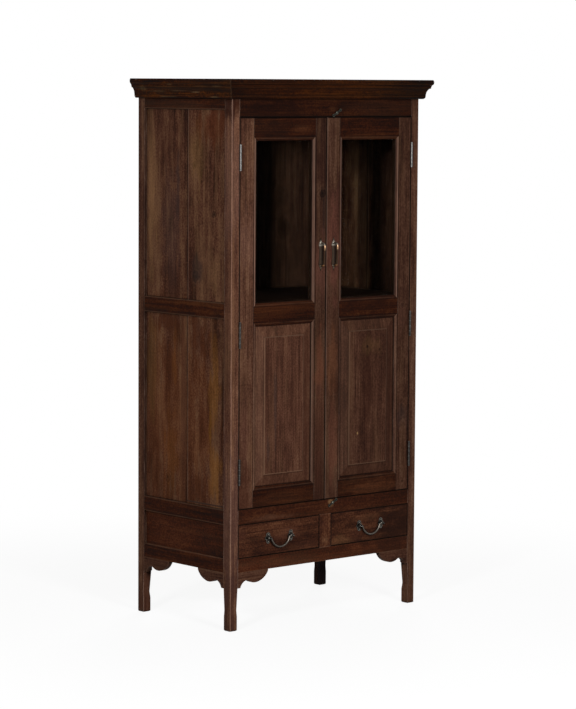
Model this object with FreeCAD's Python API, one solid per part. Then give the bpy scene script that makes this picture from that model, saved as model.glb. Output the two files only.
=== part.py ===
import FreeCAD, Part
import math
import os

from FreeCAD import Vector

# Tall hardwood cabinet on four short legs: two framed doors with glass above and a
# raised panel below, two drawers side by side under them, scalloped leg brackets and
# a moulded cornice. Everything is drawn with y = 0 at the front face of the posts and
# +y to the back, and shifted to the middle of the footprint when it is written.
# All sizes are in millimetres.

# Overall sizes
carcass_width = 880.0
carcass_depth = 510.0
post_side = 36.0
rail_thickness = 26.0

# Heights, from the floor up
leg_clearance = 202.0
bottom_rail_height = 49.0
drawer_opening_height = 118.0
drawer_rail_height = 52.0
door_opening_height = 1349.0
top_rail_height = 116.0
top_board_thickness = 14.0
side_middle_rail_lift = 660.0
side_middle_rail_height = 54.0
side_top_rail_height = 90.0

# Legs below the brackets: each is a square that keeps its outer corner
leg_top_side = 34.0
leg_waist_side = 29.5
leg_toe_side = 32.0
leg_waist_level = 72.0
leg_toe_level = 50.0
foot_bevel_width = 3.0
post_arris_radius = 2.5

# Joints of the carcass
tenon_thickness = 10.0
tenon_setback = 8.0
tenon_web = 2.0
tenon_shoulder = 6.0

# Boards that fill the sides and the back
board_recess_depth = 9.0
board_thickness = 10.0
board_tongue_length = 8.0
proud_board_height = 4.0
side_board_seam_place = 240.0
board_arris_radius = 2.5
bottom_rail_chamfer_width = 6.0
back_board_count = 4

# Scalloped brackets
bracket_length = 138.0
bracket_depth = 54.0
bracket_thickness = 18.0

# The scalloped edge as shares of the bracket's length and depth, from the leg out: the
# small foot, the cove that rises to a cusp, and the lobe that returns to the rail
bracket_foot_share = (0.08, 1.0)
bracket_cove_share = (0.145, 0.72)
bracket_cusp_share = (0.31, 0.53)
bracket_lobe_share = (0.53, 0.755)
bracket_turn_share = (0.73, 0.68)
bracket_tail_share = (0.905, 0.42)
bracket_tip_share = (1.0, 0.1)

# Cornice
cornice_height = 68.0
cornice_overhang = 39.0

# The moulding's section as shares of its overhang and height, from the bottom up
cornice_bead_shares = ((0.28, 0.0), (0.41, 0.06), (0.45, 0.15))
cornice_quirk_share = (0.45, 0.22)
cornice_cove_shares = ((0.47, 0.24), (0.53, 0.40), (0.69, 0.54))
cornice_fillet_shares = ((0.78, 0.54), (0.78, 0.57), (0.86, 0.72))
cornice_nose_shares = ((0.93, 0.745), (1.0, 0.87), (0.93, 1.0))

# Doors
door_thickness = 24.0
door_gap = 1.5
door_seam = 2.0
door_meeting = -4.5
left_hinge_stile_width = 63.0
left_meeting_stile_width = 50.0
right_hinge_stile_width = 58.0
right_meeting_stile_width = 62.0
door_bottom_rail_height = 59.0
door_top_rail_height = 66.0
door_middle_rail_level = 642.5
door_middle_rail_height = 54.0
door_tenon_length = 30.0
door_tenon_thickness = 7.0
door_tenon_shoulder = 8.0
door_arris_width = 1.2

# The moulded inner edge of the door frames, from the front face inwards
sticking_width = 13.0
sticking_fall_depth = 4.0
sticking_bow_depth = 1.2
sticking_bow_share = 0.55
lip_depth = 8.0
rebate_width = 10.0
groove_depth = 9.0
groove_width = 6.0
glass_thickness = 3.0
glass_edge_width = 7.0
bead_thickness = 11.0

# The raised panel of a door
panel_border_width = 40.0
panel_tongue_length = 7.0
panel_bevel_depth = 1.2
panel_field_height = 1.0

# Butt hinges: three on each door, the middle one at a share of the opening's height
hinge_length = 89.0
low_hinge_inset = 131.0
high_hinge_inset = 137.0
middle_hinge_share = 0.4485
hinge_knuckle_radius = 4.0
hinge_axis_distance = 4.5
hinge_pin_radius = 2.0
hinge_pin_end_length = 1.0
hinge_leaf_thickness = 1.6
hinge_leaf_gap = 0.3
hinge_leaf_width = 23.0
hinge_knuckle_count = 5
hinge_knuckle_gap = 0.3
running_clearance = 0.06

# Door pulls: a pointed plate with a fixed bow, which stands out more at its top
pull_lift = 867.0
left_pull_inset = 25.0
right_pull_inset = 33.5
pull_plate_length = 116.0
pull_plate_width = 18.0
pull_plate_thickness = 2.0
pull_bow_length = 80.0
pull_bow_high_reach = 24.0
pull_bow_low_reach = 17.5
pull_bow_radius = 3.6
pull_bow_high_bend_radius = 13.0
pull_bow_low_bend_radius = 7.0
pull_collar_radius = 5.6
pull_collar_length = 4.0

# The plate's outline as shares of its half width and half length, from the tip to the
# waist: the hollow shoulder, then the rounded lobe
pull_shoulder_shares = ((0.0, 1.0), (0.33, 0.8), (0.95, 0.62))
pull_lobe_shares = ((0.95, 0.62), (1.0, 0.5), (0.8, 0.34))
pull_waist_share = 0.72

# Turn buttons on the rails, which hold the right door shut
button_half_length = 23.5
button_lobe_radius = 4.8
button_hub_radius = 5.8
button_waist_width = 6.0
button_thickness = 3.0
button_standoff = 0.3
button_rest_angle = 60.0
button_screw_radius = 2.0
button_screw_length = 16.0
button_head_radius = 4.4
button_head_height = 2.2
button_edge_distance = 15.5
top_button_place = 41.0
bottom_button_place = 34.0

# Drawers
divider_width = 56.0
drawer_gap = 1.5
drawer_front_thickness = 22.0
drawer_arris_width = 1.2
drawer_side_thickness = 11.0
drawer_side_drop = 2.0
drawer_bottom_thickness = 5.0
drawer_bottom_lift = 8.0
drawer_bottom_groove_depth = 5.0
drawer_back_gap = 1.0
runner_width = 34.0
runner_thickness = 19.0
runner_clearance = 0.3
guide_height = 40.0
guide_clearance = 1.0
kicker_thickness = 18.0

# Drawer handles: a lobed plate at each end of a swinging bail, with a post whose ball
# takes the bail's pin and ends in a small knob
handle_lift = 60.0
handle_half_span = 52.5
handle_plate_height = 38.0
handle_plate_width = 26.0
handle_plate_thickness = 2.4
handle_upright_lobe_radius = 8.0
handle_side_lobe_radius = 7.4
handle_post_radius = 3.4
handle_ball_radius = 4.8
handle_reach = 8.5
handle_neck_radius = 2.4
handle_knob_radius = 3.7
handle_knob_reach = 17.5
bail_drop = 34.5
bail_half_width = 41.5
bail_shoulder_drop = 4.2
bail_radius = 3.3
bail_pin_radius = 2.0

# Inside
floor_thickness = 14.0
stop_gap = 2.0
shelf_level = 1134.0
shelf_thickness = 18.0
bearer_height = 24.0
bearer_width = 20.0
door_stop_height = 34.0
door_stop_width = 18.0
door_stop_drop = 12.0

# An allowance by which cutting shapes run past what they cut
overrun = 1.0

# Derived levels and places
half_width = carcass_width / 2
half_opening = half_width - post_side
drawer_opening_level = leg_clearance + bottom_rail_height
drawer_rail_level = drawer_opening_level + drawer_opening_height
door_opening_level = drawer_rail_level + drawer_rail_height
top_rail_level = door_opening_level + door_opening_height
frame_top = top_rail_level + top_rail_height
cabinet_height = frame_top + top_board_thickness
side_middle_rail_level = door_opening_level + side_middle_rail_lift
side_top_rail_level = frame_top - side_top_rail_height
bracket_foot_level = leg_clearance - bracket_depth
handle_level = drawer_opening_level + handle_lift
back_inner = carcass_depth - rail_thickness
tenon_length = post_side - tenon_setback - tenon_thickness - tenon_web
door_height = door_opening_height - 2 * door_gap
hinge_place = -half_opening + door_gap / 2
hinge_levels = (
    door_opening_level + low_hinge_inset,
    door_opening_level + door_opening_height * middle_hinge_share,
    top_rail_level - high_hinge_inset,
)
frame_shift = Vector(0, (cornice_overhang - carcass_depth) / 2, 0)


def box(x0, x1, y0, y1, z0, z1):
    """A block between two corners."""
    return Part.makeBox(x1 - x0, y1 - y0, z1 - z0, Vector(x0, y0, z0))


def side_box(side, u0, u1, v0, v1, z0, z1):
    """A block given by its run u along one side of the cabinet and its depth v
    below that side's outer face."""
    if side == "front":
        return box(u0, u1, v0, v1, z0, z1)
    if side == "back":
        return box(u0, u1, carcass_depth - v1, carcass_depth - v0, z0, z1)
    if side == "left":
        return box(v0 - half_width, v1 - half_width, u0, u1, z0, z1)
    return box(half_width - v1, half_width - v0, u0, u1, z0, z1)


def side_opening(side):
    """The clear run between the two posts of a side."""
    if side in ("front", "back"):
        return -half_opening, half_opening
    return post_side, carcass_depth - post_side


def mirrored(shape):
    """The same piece for the other half of the cabinet."""
    return shape.mirror(Vector(0, 0, 0), Vector(1, 0, 0))


def turned(shape, centre, axis, angle):
    """A copy turned about an axis through a point."""
    copy = shape.copy()
    copy.rotate(centre, axis, angle)
    return copy


def fused(shapes):
    """One solid from touching pieces, without the seams between flush faces."""
    return shapes[0].fuse(shapes[1:]).removeSplitter()


def face_of(points):
    """A flat face with straight sides through the points."""
    return Part.Face(Part.makePolygon([*points, points[0]]))


def plate_outline(x0, x1, z0, z1, inset, y):
    """A rectangle across the cabinet at depth y, drawn in from the given lines."""
    return Part.makePolygon([
        Vector(x0 + inset, y, z0 + inset), Vector(x1 - inset, y, z0 + inset),
        Vector(x1 - inset, y, z1 - inset), Vector(x0 + inset, y, z1 - inset),
        Vector(x0 + inset, y, z0 + inset)])


def rounding(corner, along_u, along_v, radius, run):
    """What is planed off a straight edge to leave it rounded: the edge starts at the
    corner and goes along the run, and the two directions point away from it."""
    start, end = corner + along_u * radius, corner + along_v * radius
    centre = start + along_v * radius
    middle = centre - (along_u + along_v) * (radius * math.sqrt(0.5))
    outline = Part.Wire([Part.makeLine(corner, start), Part.Arc(start, middle, end).toShape(),
                         Part.makeLine(end, corner)])
    return Part.Face(outline).extrude(run)


def rounded_path(corners, radii):
    """A wire through the corners, with an arc of the given radius at each inner one."""
    edges, last = [], corners[0]
    for before, corner, after, radius in zip(corners, corners[1:], corners[2:], radii):
        back, on = (before - corner).normalize(), (after - corner).normalize()
        half = back.getAngle(on) / 2
        start = corner + back * (radius / math.tan(half))
        end = corner + on * (radius / math.tan(half))
        middle = corner + (back + on).normalize() * (radius / math.sin(half) - radius)
        edges += [Part.makeLine(last, start), Part.Arc(start, middle, end).toShape()]
        last = end
    return Part.Wire([*edges, Part.makeLine(last, corners[-1])])


def eased_blank(x0, x1, thickness, z0, z1, arris_width):
    """A board on the front plane whose four front edges are planed off."""
    face = plate_outline(x0, x1, z0, z1, arris_width, 0)
    body = plate_outline(x0, x1, z0, z1, 0, arris_width)
    edge = Part.makeLoft([face, body], True, True)
    return fused([edge, box(x0, x1, arris_width, thickness, z0, z1)])


def housed(carrier, pieces):
    """The carrier with a seat cut for each piece that reaches into it."""
    near = [p for p in pieces if p.BoundBox.intersect(carrier.BoundBox)]
    return carrier.cut(near) if near else carrier


# The carcass frame


def rail(side, level, height, depth=rail_thickness, u0=None, u1=None):
    """A rail between two uprights with a tenon on each end."""
    first, last = side_opening(side)
    u0 = first if u0 is None else u0
    u1 = last if u1 is None else u1
    body = side_box(side, u0, u1, 0, depth, level, level + height)
    tenons = side_box(side, u0 - tenon_length, u1 + tenon_length, tenon_setback,
                      tenon_setback + tenon_thickness, level + tenon_shoulder,
                      level + height - tenon_shoulder)
    return fused([body, tenons])


def chamfered_bottom_rail(side):
    """The bottom rail of a side, whose upper outer edge is planed off."""
    piece = rail(side, leg_clearance, bottom_rail_height)
    edge_level = leg_clearance + bottom_rail_height
    u0, u1 = side_opening(side)
    wedge = [(0, edge_level), (bottom_rail_chamfer_width, edge_level),
             (0, edge_level - bottom_rail_chamfer_width)]
    sign = -1 if side == "left" else 1
    points = [Vector(sign * (half_width - v), u0, z) for v, z in wedge]
    return piece.cut(face_of(points).extrude(Vector(0, u1 - u0, 0)))


def side_rails(side):
    """The four rails of a side or of the back, top one first."""
    lowest = (rail(side, leg_clearance, bottom_rail_height) if side == "back"
              else chamfered_bottom_rail(side))
    return [
        rail(side, side_top_rail_level, side_top_rail_height),
        rail(side, side_middle_rail_level, side_middle_rail_height),
        rail(side, drawer_rail_level, drawer_rail_height),
        lowest,
    ]


def leg_section(level, side, inset=0.0):
    """A square outline of a leg at the cabinet's front left corner."""
    near, far = inset, side
    return Part.makePolygon([
        Vector(-half_width + near, near, level), Vector(-half_width + far, near, level),
        Vector(-half_width + far, far, level), Vector(-half_width + near, far, level),
        Vector(-half_width + near, near, level)])


def corner_post():
    """The front left post: square above, with a waisted leg and a slight toe."""
    shaft = side_box("left", 0, post_side, 0, post_side, bracket_foot_level, frame_top)
    leg = Part.makeLoft([
        leg_section(0, leg_toe_side - foot_bevel_width, foot_bevel_width),
        leg_section(foot_bevel_width, leg_toe_side),
        leg_section(leg_toe_level, leg_toe_side),
        leg_section(leg_waist_level, leg_waist_side),
        leg_section(bracket_foot_level, leg_top_side)], True, True)
    arris = rounding(Vector(-half_width, 0, 0), Vector(1, 0, 0), Vector(0, 1, 0),
                     post_arris_radius, Vector(0, 0, cabinet_height - cornice_height))
    return shaft.fuse(leg).cut(arris).removeSplitter()


def posts():
    """The four corner posts by name."""
    front_left = corner_post()
    back_left = front_left.mirror(Vector(0, carcass_depth / 2, 0), Vector(0, 1, 0))
    return {
        "front_left_post": front_left,
        "front_right_post": mirrored(front_left),
        "back_left_post": back_left,
        "back_right_post": mirrored(back_left),
    }


def front_frame():
    """The rails of the front and the short upright between the drawers."""
    half_divider = divider_width / 2
    divider = box(-half_divider, half_divider, 0, post_side, drawer_opening_level,
                  drawer_rail_level)
    tongue = box(tenon_shoulder - half_divider, half_divider - tenon_shoulder,
                 tenon_setback, tenon_setback + tenon_thickness,
                 drawer_opening_level - tenon_length, drawer_rail_level + tenon_length)
    return {
        "front_top_rail": rail("front", top_rail_level, top_rail_height),
        "drawer_rail": rail("front", drawer_rail_level, drawer_rail_height, post_side),
        "front_bottom_rail": rail("front", leg_clearance, bottom_rail_height, post_side),
        "drawer_divider": fused([divider, tongue]),
    }


# Boards of the sides and the back


def fields():
    """Lower and upper edge of each field of boards, between the rails."""
    return [
        (drawer_opening_level, drawer_rail_level),
        (door_opening_level, side_middle_rail_level),
        (side_middle_rail_level + side_middle_rail_height, side_top_rail_level),
    ]


def board(side, u0, u1, z0, z1, low_tongue, high_tongue):
    """A board whose ends, and whose edges beside a post, enter grooves."""
    first = u0 - board_tongue_length if low_tongue else u0
    last = u1 + board_tongue_length if high_tongue else u1
    return side_box(side, first, last, board_recess_depth,
                    board_recess_depth + board_thickness, z0 - board_tongue_length,
                    z1 + board_tongue_length)


def proud_board(side, u0, u1, z0, z1):
    """The front board of a side field, which stands out beyond the back one."""
    base = board(side, u0, u1, z0, z1, True, False)
    raised = side_box(side, u0, u1, board_recess_depth - proud_board_height,
                      board_recess_depth + overrun, z0, z1)
    sign = -1 if side == "left" else 1
    face = half_width - board_recess_depth + proud_board_height
    arris = rounding(Vector(sign * face, u1, z0), Vector(0, -1, 0), Vector(-sign, 0, 0),
                     board_arris_radius, Vector(0, 0, z1 - z0))
    return fused([base, raised]).cut(arris)


def side_boards(side):
    """The plinth board and two upright boards in each of the two fields above."""
    u0, u1 = side_opening(side)
    plinth, lower, upper = fields()
    pieces = [board(side, u0, u1, *plinth, True, True)]
    for z0, z1 in (lower, upper):
        pieces.append(proud_board(side, u0, side_board_seam_place, z0, z1))
        pieces.append(board(side, side_board_seam_place, u1, z0, z1, False, True))
    return pieces


def back_boards():
    """The plinth board and the upright boards of the back."""
    u0, u1 = side_opening("back")
    plinth, lower, upper = fields()
    pieces = [board("back", u0, u1, *plinth, True, True)]
    width = (u1 - u0) / back_board_count
    for z0, z1 in (lower, upper):
        for i in range(back_board_count):
            pieces.append(board("back", u0 + i * width, u0 + (i + 1) * width, z0, z1,
                                i == 0, i == back_board_count - 1))
    return pieces


# Brackets under the rails


def bracket_outline():
    """The scalloped outline: it runs along the rail from the leg and hangs below it."""
    def at(share):
        return Vector(bracket_length * share[0], 0, -bracket_depth * share[1])

    foot, cove, cusp = at(bracket_foot_share), at(bracket_cove_share), at(bracket_cusp_share)
    lobe, turn = at(bracket_lobe_share), at(bracket_turn_share)
    tail, tip = at(bracket_tail_share), at(bracket_tip_share)
    root, heel, end = at((0, 0)), at((0, 1)), at((1, 0))
    return Part.Wire([
        Part.makeLine(root, heel),
        Part.makeLine(heel, foot),
        Part.Arc(foot, cove, cusp).toShape(),
        Part.Arc(cusp, lobe, turn).toShape(),
        Part.Arc(turn, tail, tip).toShape(),
        Part.makeLine(tip, end),
        Part.makeLine(end, root)])


def brackets():
    """The pairs of brackets at the front and at both sides."""
    blank = Part.Face(bracket_outline()).extrude(Vector(0, bracket_thickness, 0))
    front = blank.translated(Vector(-half_opening, 0, leg_clearance))
    side = turned(blank, Vector(0, 0, 0), Vector(0, 0, 1), 90)
    side.translate(Vector(bracket_thickness - half_width, post_side, leg_clearance))
    left = [side, side.mirror(Vector(0, carcass_depth / 2, 0), Vector(0, 1, 0))]
    return {
        "front_brackets": [front, mirrored(front)],
        "left_brackets": left,
        "right_brackets": [mirrored(piece) for piece in left],
    }


# Cornice and top


def cornice_profile():
    """The moulding's section: bead, cove, fillet and rounded edge from the bottom up."""
    def at(share):
        return Vector(0, -cornice_overhang * share[0], cornice_height * share[1])

    bead = [at(share) for share in cornice_bead_shares]
    cove = [at(share) for share in cornice_cove_shares]
    fillet = [at(share) for share in cornice_fillet_shares]
    nose = [at(share) for share in cornice_nose_shares]
    steps = [bead[-1], at(cornice_quirk_share), cove[0]]
    edges = [
        Part.makePolygon([at((0, 1)), at((0, 0)), bead[0]]),
        Part.Arc(*bead).toShape(),
        Part.makePolygon(steps),
        Part.Arc(*cove).toShape(),
        Part.makePolygon([cove[-1], *fillet, nose[0]]),
        Part.Arc(*nose).toShape(),
        Part.makeLine(nose[-1], at((0, 1))),
    ]
    return Part.Wire([edge for piece in edges for edge in piece.Edges])


def cornice():
    """The front moulding and the two side ones, mitred at the front corners."""
    reach = half_width + cornice_overhang
    level = cabinet_height - cornice_height
    section = Part.Face(cornice_profile())
    front = section.copy()
    front.translate(Vector(-reach, 0, level))
    front = front.extrude(Vector(2 * reach, 0, 0))
    plan = face_of([Vector(-half_width, 0, level), Vector(-reach, -cornice_overhang, level),
                    Vector(reach, -cornice_overhang, level), Vector(half_width, 0, level)])
    front = front.common(plan.extrude(Vector(0, 0, cornice_height)))
    side = turned(section, Vector(0, 0, 0), Vector(0, 0, 1), -90)
    side.translate(Vector(-half_width, -cornice_overhang, level))
    side = side.extrude(Vector(0, carcass_depth + cornice_overhang, 0))
    plan = face_of([Vector(-half_width, 0, level), Vector(-reach, -cornice_overhang, level),
                    Vector(-reach, carcass_depth, level),
                    Vector(-half_width, carcass_depth, level)])
    left = side.common(plan.extrude(Vector(0, 0, cornice_height)))
    return {"front_cornice": front, "left_cornice": left, "right_cornice": mirrored(left)}


def top_board():
    """The board that closes the top inside the cornice."""
    return box(-half_width, half_width, 0, carcass_depth, frame_top, cabinet_height)


# Inside of the cupboard


def cupboard_floor():
    """The floor on the rails above the drawers; its front edge stops the doors."""
    inner = half_width - board_recess_depth - board_thickness
    front = door_thickness + stop_gap
    return box(-inner, inner, front, carcass_depth - board_recess_depth - board_thickness,
               door_opening_level, door_opening_level + floor_thickness)


def shelf():
    """The shelf at the height of the doors' middle rail."""
    inner = half_width - rail_thickness
    front = door_thickness + stop_gap
    return box(-inner, inner, front, back_inner, shelf_level - shelf_thickness, shelf_level)


def shelf_bearers():
    """A bearer on each side rail under the shelf."""
    top = shelf_level - shelf_thickness
    left = side_box("left", post_side, carcass_depth - post_side, rail_thickness,
                    rail_thickness + bearer_width, top - bearer_height, top)
    return [left, mirrored(left)]


def top_door_stop():
    """The batten behind the top rail that the doors close against."""
    return box(-half_opening, half_opening, rail_thickness, rail_thickness + door_stop_width,
               top_rail_level - door_stop_drop,
               top_rail_level - door_stop_drop + door_stop_height)


def drawer_runners():
    """The bearers that the drawers slide on: one each side and a wide middle one."""
    low, high = drawer_opening_level - runner_thickness, drawer_opening_level
    left = side_box("left", post_side, carcass_depth - post_side, rail_thickness,
                    rail_thickness + runner_width, low, high)
    reach = divider_width / 2 + runner_width - rail_thickness
    middle = box(-reach, reach, post_side, back_inner, low, high)
    return [left, middle, mirrored(left)]


def drawer_guides():
    """The strips on the runners that keep the drawers straight."""
    low, high = drawer_opening_level, drawer_opening_level + guide_height
    left = side_box("left", post_side, carcass_depth - post_side, rail_thickness,
                    post_side - guide_clearance, low, high)
    inner = divider_width / 2 - guide_clearance
    middle = box(-inner, inner, post_side, back_inner, low, high)
    return [left, middle, mirrored(left)]


def drawer_kickers():
    """The strips above the drawers that keep them from tipping."""
    low, high = drawer_rail_level, drawer_rail_level + kicker_thickness
    left = side_box("left", post_side, carcass_depth - post_side, rail_thickness,
                    rail_thickness + runner_width, low, high)
    reach = divider_width / 2 + runner_width - rail_thickness
    middle = box(-reach, reach, post_side, back_inner, low, high)
    return [left, middle, mirrored(left)]


# Doors. A door is drawn with u from its hinged edge to its meeting edge, v from its
# front face inwards and z up from its bottom edge, then placed or mirrored.


def edge_section(kind):
    """The section of the moulded inner edge: s runs from the flat face inwards."""
    bow = Vector(sticking_width * sticking_bow_share, sticking_bow_depth, 0)
    foot = Vector(sticking_width, sticking_fall_depth, 0)
    edges = [Part.Arc(Vector(0, 0, 0), bow, foot).toShape()]
    corners = [(sticking_width, sticking_fall_depth), (sticking_width, lip_depth)]
    if kind == "glass":
        corners += [(sticking_width - rebate_width, lip_depth),
                    (sticking_width - rebate_width, door_thickness)]
    else:
        groove_back = lip_depth + groove_width
        corners += [(sticking_width - groove_depth, lip_depth),
                    (sticking_width - groove_depth, groove_back),
                    (sticking_width, groove_back), (sticking_width, door_thickness)]
    corners += [(0, door_thickness), (0, 0)]
    points = [Vector(s, v, 0) for s, v in corners]
    edges += [Part.makeLine(a, b) for a, b in zip(points, points[1:])]
    return Part.Face(Part.Wire(edges))


def edge_member(kind, start, end, inward):
    """A length of the moulded edge from start to end in the (u, z) plane, mitred at
    both ends, with inward pointing into the opening."""
    run = Vector(end[0] - start[0], 0, end[1] - start[1])
    along = Vector(run)
    along.normalize()
    into = Vector(inward[0], 0, inward[1])
    depth = Vector(0, 1, 0)
    frame = FreeCAD.Matrix(into.x, depth.x, along.x, start[0],
                           into.y, depth.y, along.y, 0,
                           into.z, depth.z, along.z, start[1], 0, 0, 0, 1)
    section = edge_section(kind).transformGeometry(frame)
    member = section.extrude(run)
    origin = Vector(start[0], 0, start[1])
    inner = into * sticking_width
    cut = along * sticking_width
    plan = face_of([origin, origin + run, origin + run + inner - cut, origin + inner + cut])
    return member.common(plan.extrude(Vector(0, door_thickness, 0)))


def opening_edges(kind, u0, u1, z0, z1):
    """The four moulded edges round an opening whose flat faces end at these lines."""
    return {
        "low_u": edge_member(kind, (u0, z0), (u0, z1), (1, 0)),
        "high_u": edge_member(kind, (u1, z0), (u1, z1), (-1, 0)),
        "low_z": edge_member(kind, (u0, z0), (u1, z0), (0, 1)),
        "high_z": edge_member(kind, (u0, z1), (u1, z1), (0, -1)),
    }


def raised_panel(u0, u1, z0, z1):
    """The panel of a door: a tongue all round, a long bevel and a raised field.

    The four lines are those of the opening inside the moulded edges."""
    back = lip_depth + groove_width
    tongue = box(u0 - panel_tongue_length, u1 + panel_tongue_length, lip_depth, back,
                 z0 - panel_tongue_length, z1 + panel_tongue_length)
    edge = plate_outline(u0, u1, z0, z1, 0, lip_depth)
    rim = plate_outline(u0, u1, z0, z1, panel_border_width, panel_bevel_depth)
    bevel = Part.makeLoft([edge, rim], True, True)
    field = Part.Face(plate_outline(u0, u1, z0, z1, panel_border_width, -panel_field_height))
    field = field.extrude(Vector(0, back + panel_field_height, 0))
    return fused([tongue, bevel, field])


def glass_pane(u0, u1, z0, z1):
    """The pane, which lies against the lip of the moulded edges."""
    return box(u0 - glass_edge_width, u1 + glass_edge_width, lip_depth,
               lip_depth + glass_thickness, z0 - glass_edge_width, z1 + glass_edge_width)


def glass_beads(u0, u1, z0, z1):
    """The four beads that hold the pane from inside, the upright ones full length."""
    near = lip_depth + glass_thickness
    far = near + bead_thickness
    low, high = z0 - rebate_width, z1 + rebate_width
    return [
        box(u0 - rebate_width, u0, near, far, low, high),
        box(u1, u1 + rebate_width, near, far, low, high),
        box(u0, u1, near, far, low, z0),
        box(u0, u1, near, far, z1, high),
    ]


def pull_plate(u):
    """The plate behind a pull, pointed at both ends, lobed and waisted."""
    half, wide = pull_plate_length / 2, pull_plate_width / 2

    def at(share, across, up):
        return Vector(u + across * wide * share[0], 0, pull_lift + up * half * share[1])

    def quarter(across, up):
        shoulder = [at(share, across, up) for share in pull_shoulder_shares]
        lobe = [at(share, across, up) for share in pull_lobe_shares]
        return [Part.Arc(*shoulder).toShape(), Part.Arc(*lobe).toShape()]

    def waist(across):
        ends = [at(pull_lobe_shares[-1], across, up) for up in (1, -1)]
        middle = at((pull_waist_share, 0), across, 1)
        return Part.Arc(ends[0], middle, ends[1]).toShape()

    right = [*quarter(1, 1), waist(1), *quarter(1, -1)]
    left = [*quarter(-1, 1), waist(-1), *quarter(-1, -1)]
    outline = Part.Wire(Part.__sortEdges__([*right, *left]))
    return Part.Face(outline).extrude(Vector(0, -pull_plate_thickness, 0))


def pull(u):
    """The fixed pull: its plate, a bow and a collar at each of the bow's feet."""
    top, low = pull_lift + pull_bow_length / 2, pull_lift - pull_bow_length / 2
    root = -pull_plate_thickness / 2
    corners = [Vector(u, root, top), Vector(u, -pull_bow_high_reach, top),
               Vector(u, -pull_bow_low_reach, low), Vector(u, root, low)]
    path = rounded_path(corners, [pull_bow_high_bend_radius, pull_bow_low_bend_radius])
    ring = Part.Wire([Part.makeCircle(pull_bow_radius, corners[0], Vector(0, 1, 0))])
    bow = path.makePipeShell([ring], True, False)
    collars = [Part.makeCone(pull_collar_radius, pull_bow_radius, pull_collar_length,
                             Vector(u, -pull_plate_thickness, foot), Vector(0, -1, 0))
               for foot in (top, low)]
    return pull_plate(u).fuse([bow, *collars])


def door(width, hinge_stile_width, meeting_stile_width, pull_inset):
    """All pieces of one door, hinged at u = 0."""
    u0, u1 = hinge_stile_width, width - meeting_stile_width
    low = (door_bottom_rail_height, door_middle_rail_level)
    high = (door_middle_rail_level + door_middle_rail_height,
            door_height - door_top_rail_height)
    panel_edges = opening_edges("panel", u0, u1, *low)
    glass_edges = opening_edges("glass", u0, u1, *high)

    def stretch(z0, z1, ends):
        body = box(u0, u1, 0, door_thickness, z0, z1)
        tenon_v = (door_thickness - door_tenon_thickness) / 2
        tenon = box(u0 - door_tenon_length, u1 + door_tenon_length, tenon_v,
                    tenon_v + door_tenon_thickness, z0 + door_tenon_shoulder,
                    z1 - door_tenon_shoulder)
        return fused([body, tenon, *ends])

    rails = [
        stretch(0, low[0], [panel_edges["low_z"]]),
        stretch(low[1], high[0], [panel_edges["high_z"], glass_edges["low_z"]]),
        stretch(high[1], door_height, [glass_edges["high_z"]]),
    ]
    stiles = []
    for start, end, edge in ((0, u0, "low_u"), (u1, width, "high_u")):
        body = box(start, end, 0, door_thickness, 0, door_height)
        stile = fused([body, panel_edges[edge], glass_edges[edge]])
        stiles.append(housed(stile, rails))
    blank = eased_blank(0, width, door_thickness, 0, door_height, door_arris_width)
    stiles = [piece.common(blank) for piece in stiles]
    rails = [piece.common(blank) for piece in rails]
    inner = sticking_width
    panel_lines = (u0 + inner, u1 - inner, low[0] + inner, low[1] - inner)
    glass_lines = (u0 + inner, u1 - inner, high[0] + inner, high[1] - inner)
    return {
        "hinge_stile": stiles[0],
        "meeting_stile": stiles[1],
        "rails": rails,
        "panel": raised_panel(*panel_lines),
        "glass": glass_pane(*glass_lines),
        "glass_beads": glass_beads(*glass_lines),
        "pull": pull(width - pull_inset),
    }


# Hinges. Each is drawn at the left door, with its pin on the line between the post
# and the door, a little in front of both.


def hinge_parts(level):
    """The frame leaf, the door leaf and the pin of one hinge at its middle level."""
    low = level - hinge_length / 2
    step = hinge_length / hinge_knuckle_count
    axis = Vector(hinge_place, -hinge_axis_distance, 0)
    leaves = {"frame": [], "door": []}
    for name, sign in (("frame", -1), ("door", 1)):
        x0 = hinge_place + sign * hinge_leaf_gap / 2
        x1 = x0 + sign * hinge_leaf_thickness
        left, right = min(x0, x1), max(x0, x1)
        leaves[name].append(box(left, right, 0, hinge_leaf_width, low, low + hinge_length))
        first = 0 if name == "frame" else 1
        hole = hinge_pin_radius + (running_clearance if name == "door" else 0)
        for i in range(first, hinge_knuckle_count, 2):
            z0 = low + i * step + hinge_knuckle_gap / 2
            height = step - hinge_knuckle_gap
            place = Vector(axis.x, axis.y, z0)
            barrel = Part.makeCylinder(hinge_knuckle_radius, height, place)
            tab = box(left, right, -hinge_axis_distance, hinge_leaf_thickness, z0, z0 + height)
            bore = Part.makeCylinder(hole, height, place)
            leaves[name].append(barrel.fuse(tab).cut(bore))
    pin = Part.makeCylinder(hinge_pin_radius, hinge_length + 2 * hinge_pin_end_length,
                            Vector(axis.x, axis.y, low - hinge_pin_end_length))
    return fused(leaves["frame"]), fused(leaves["door"]), pin


# Turn buttons


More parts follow.
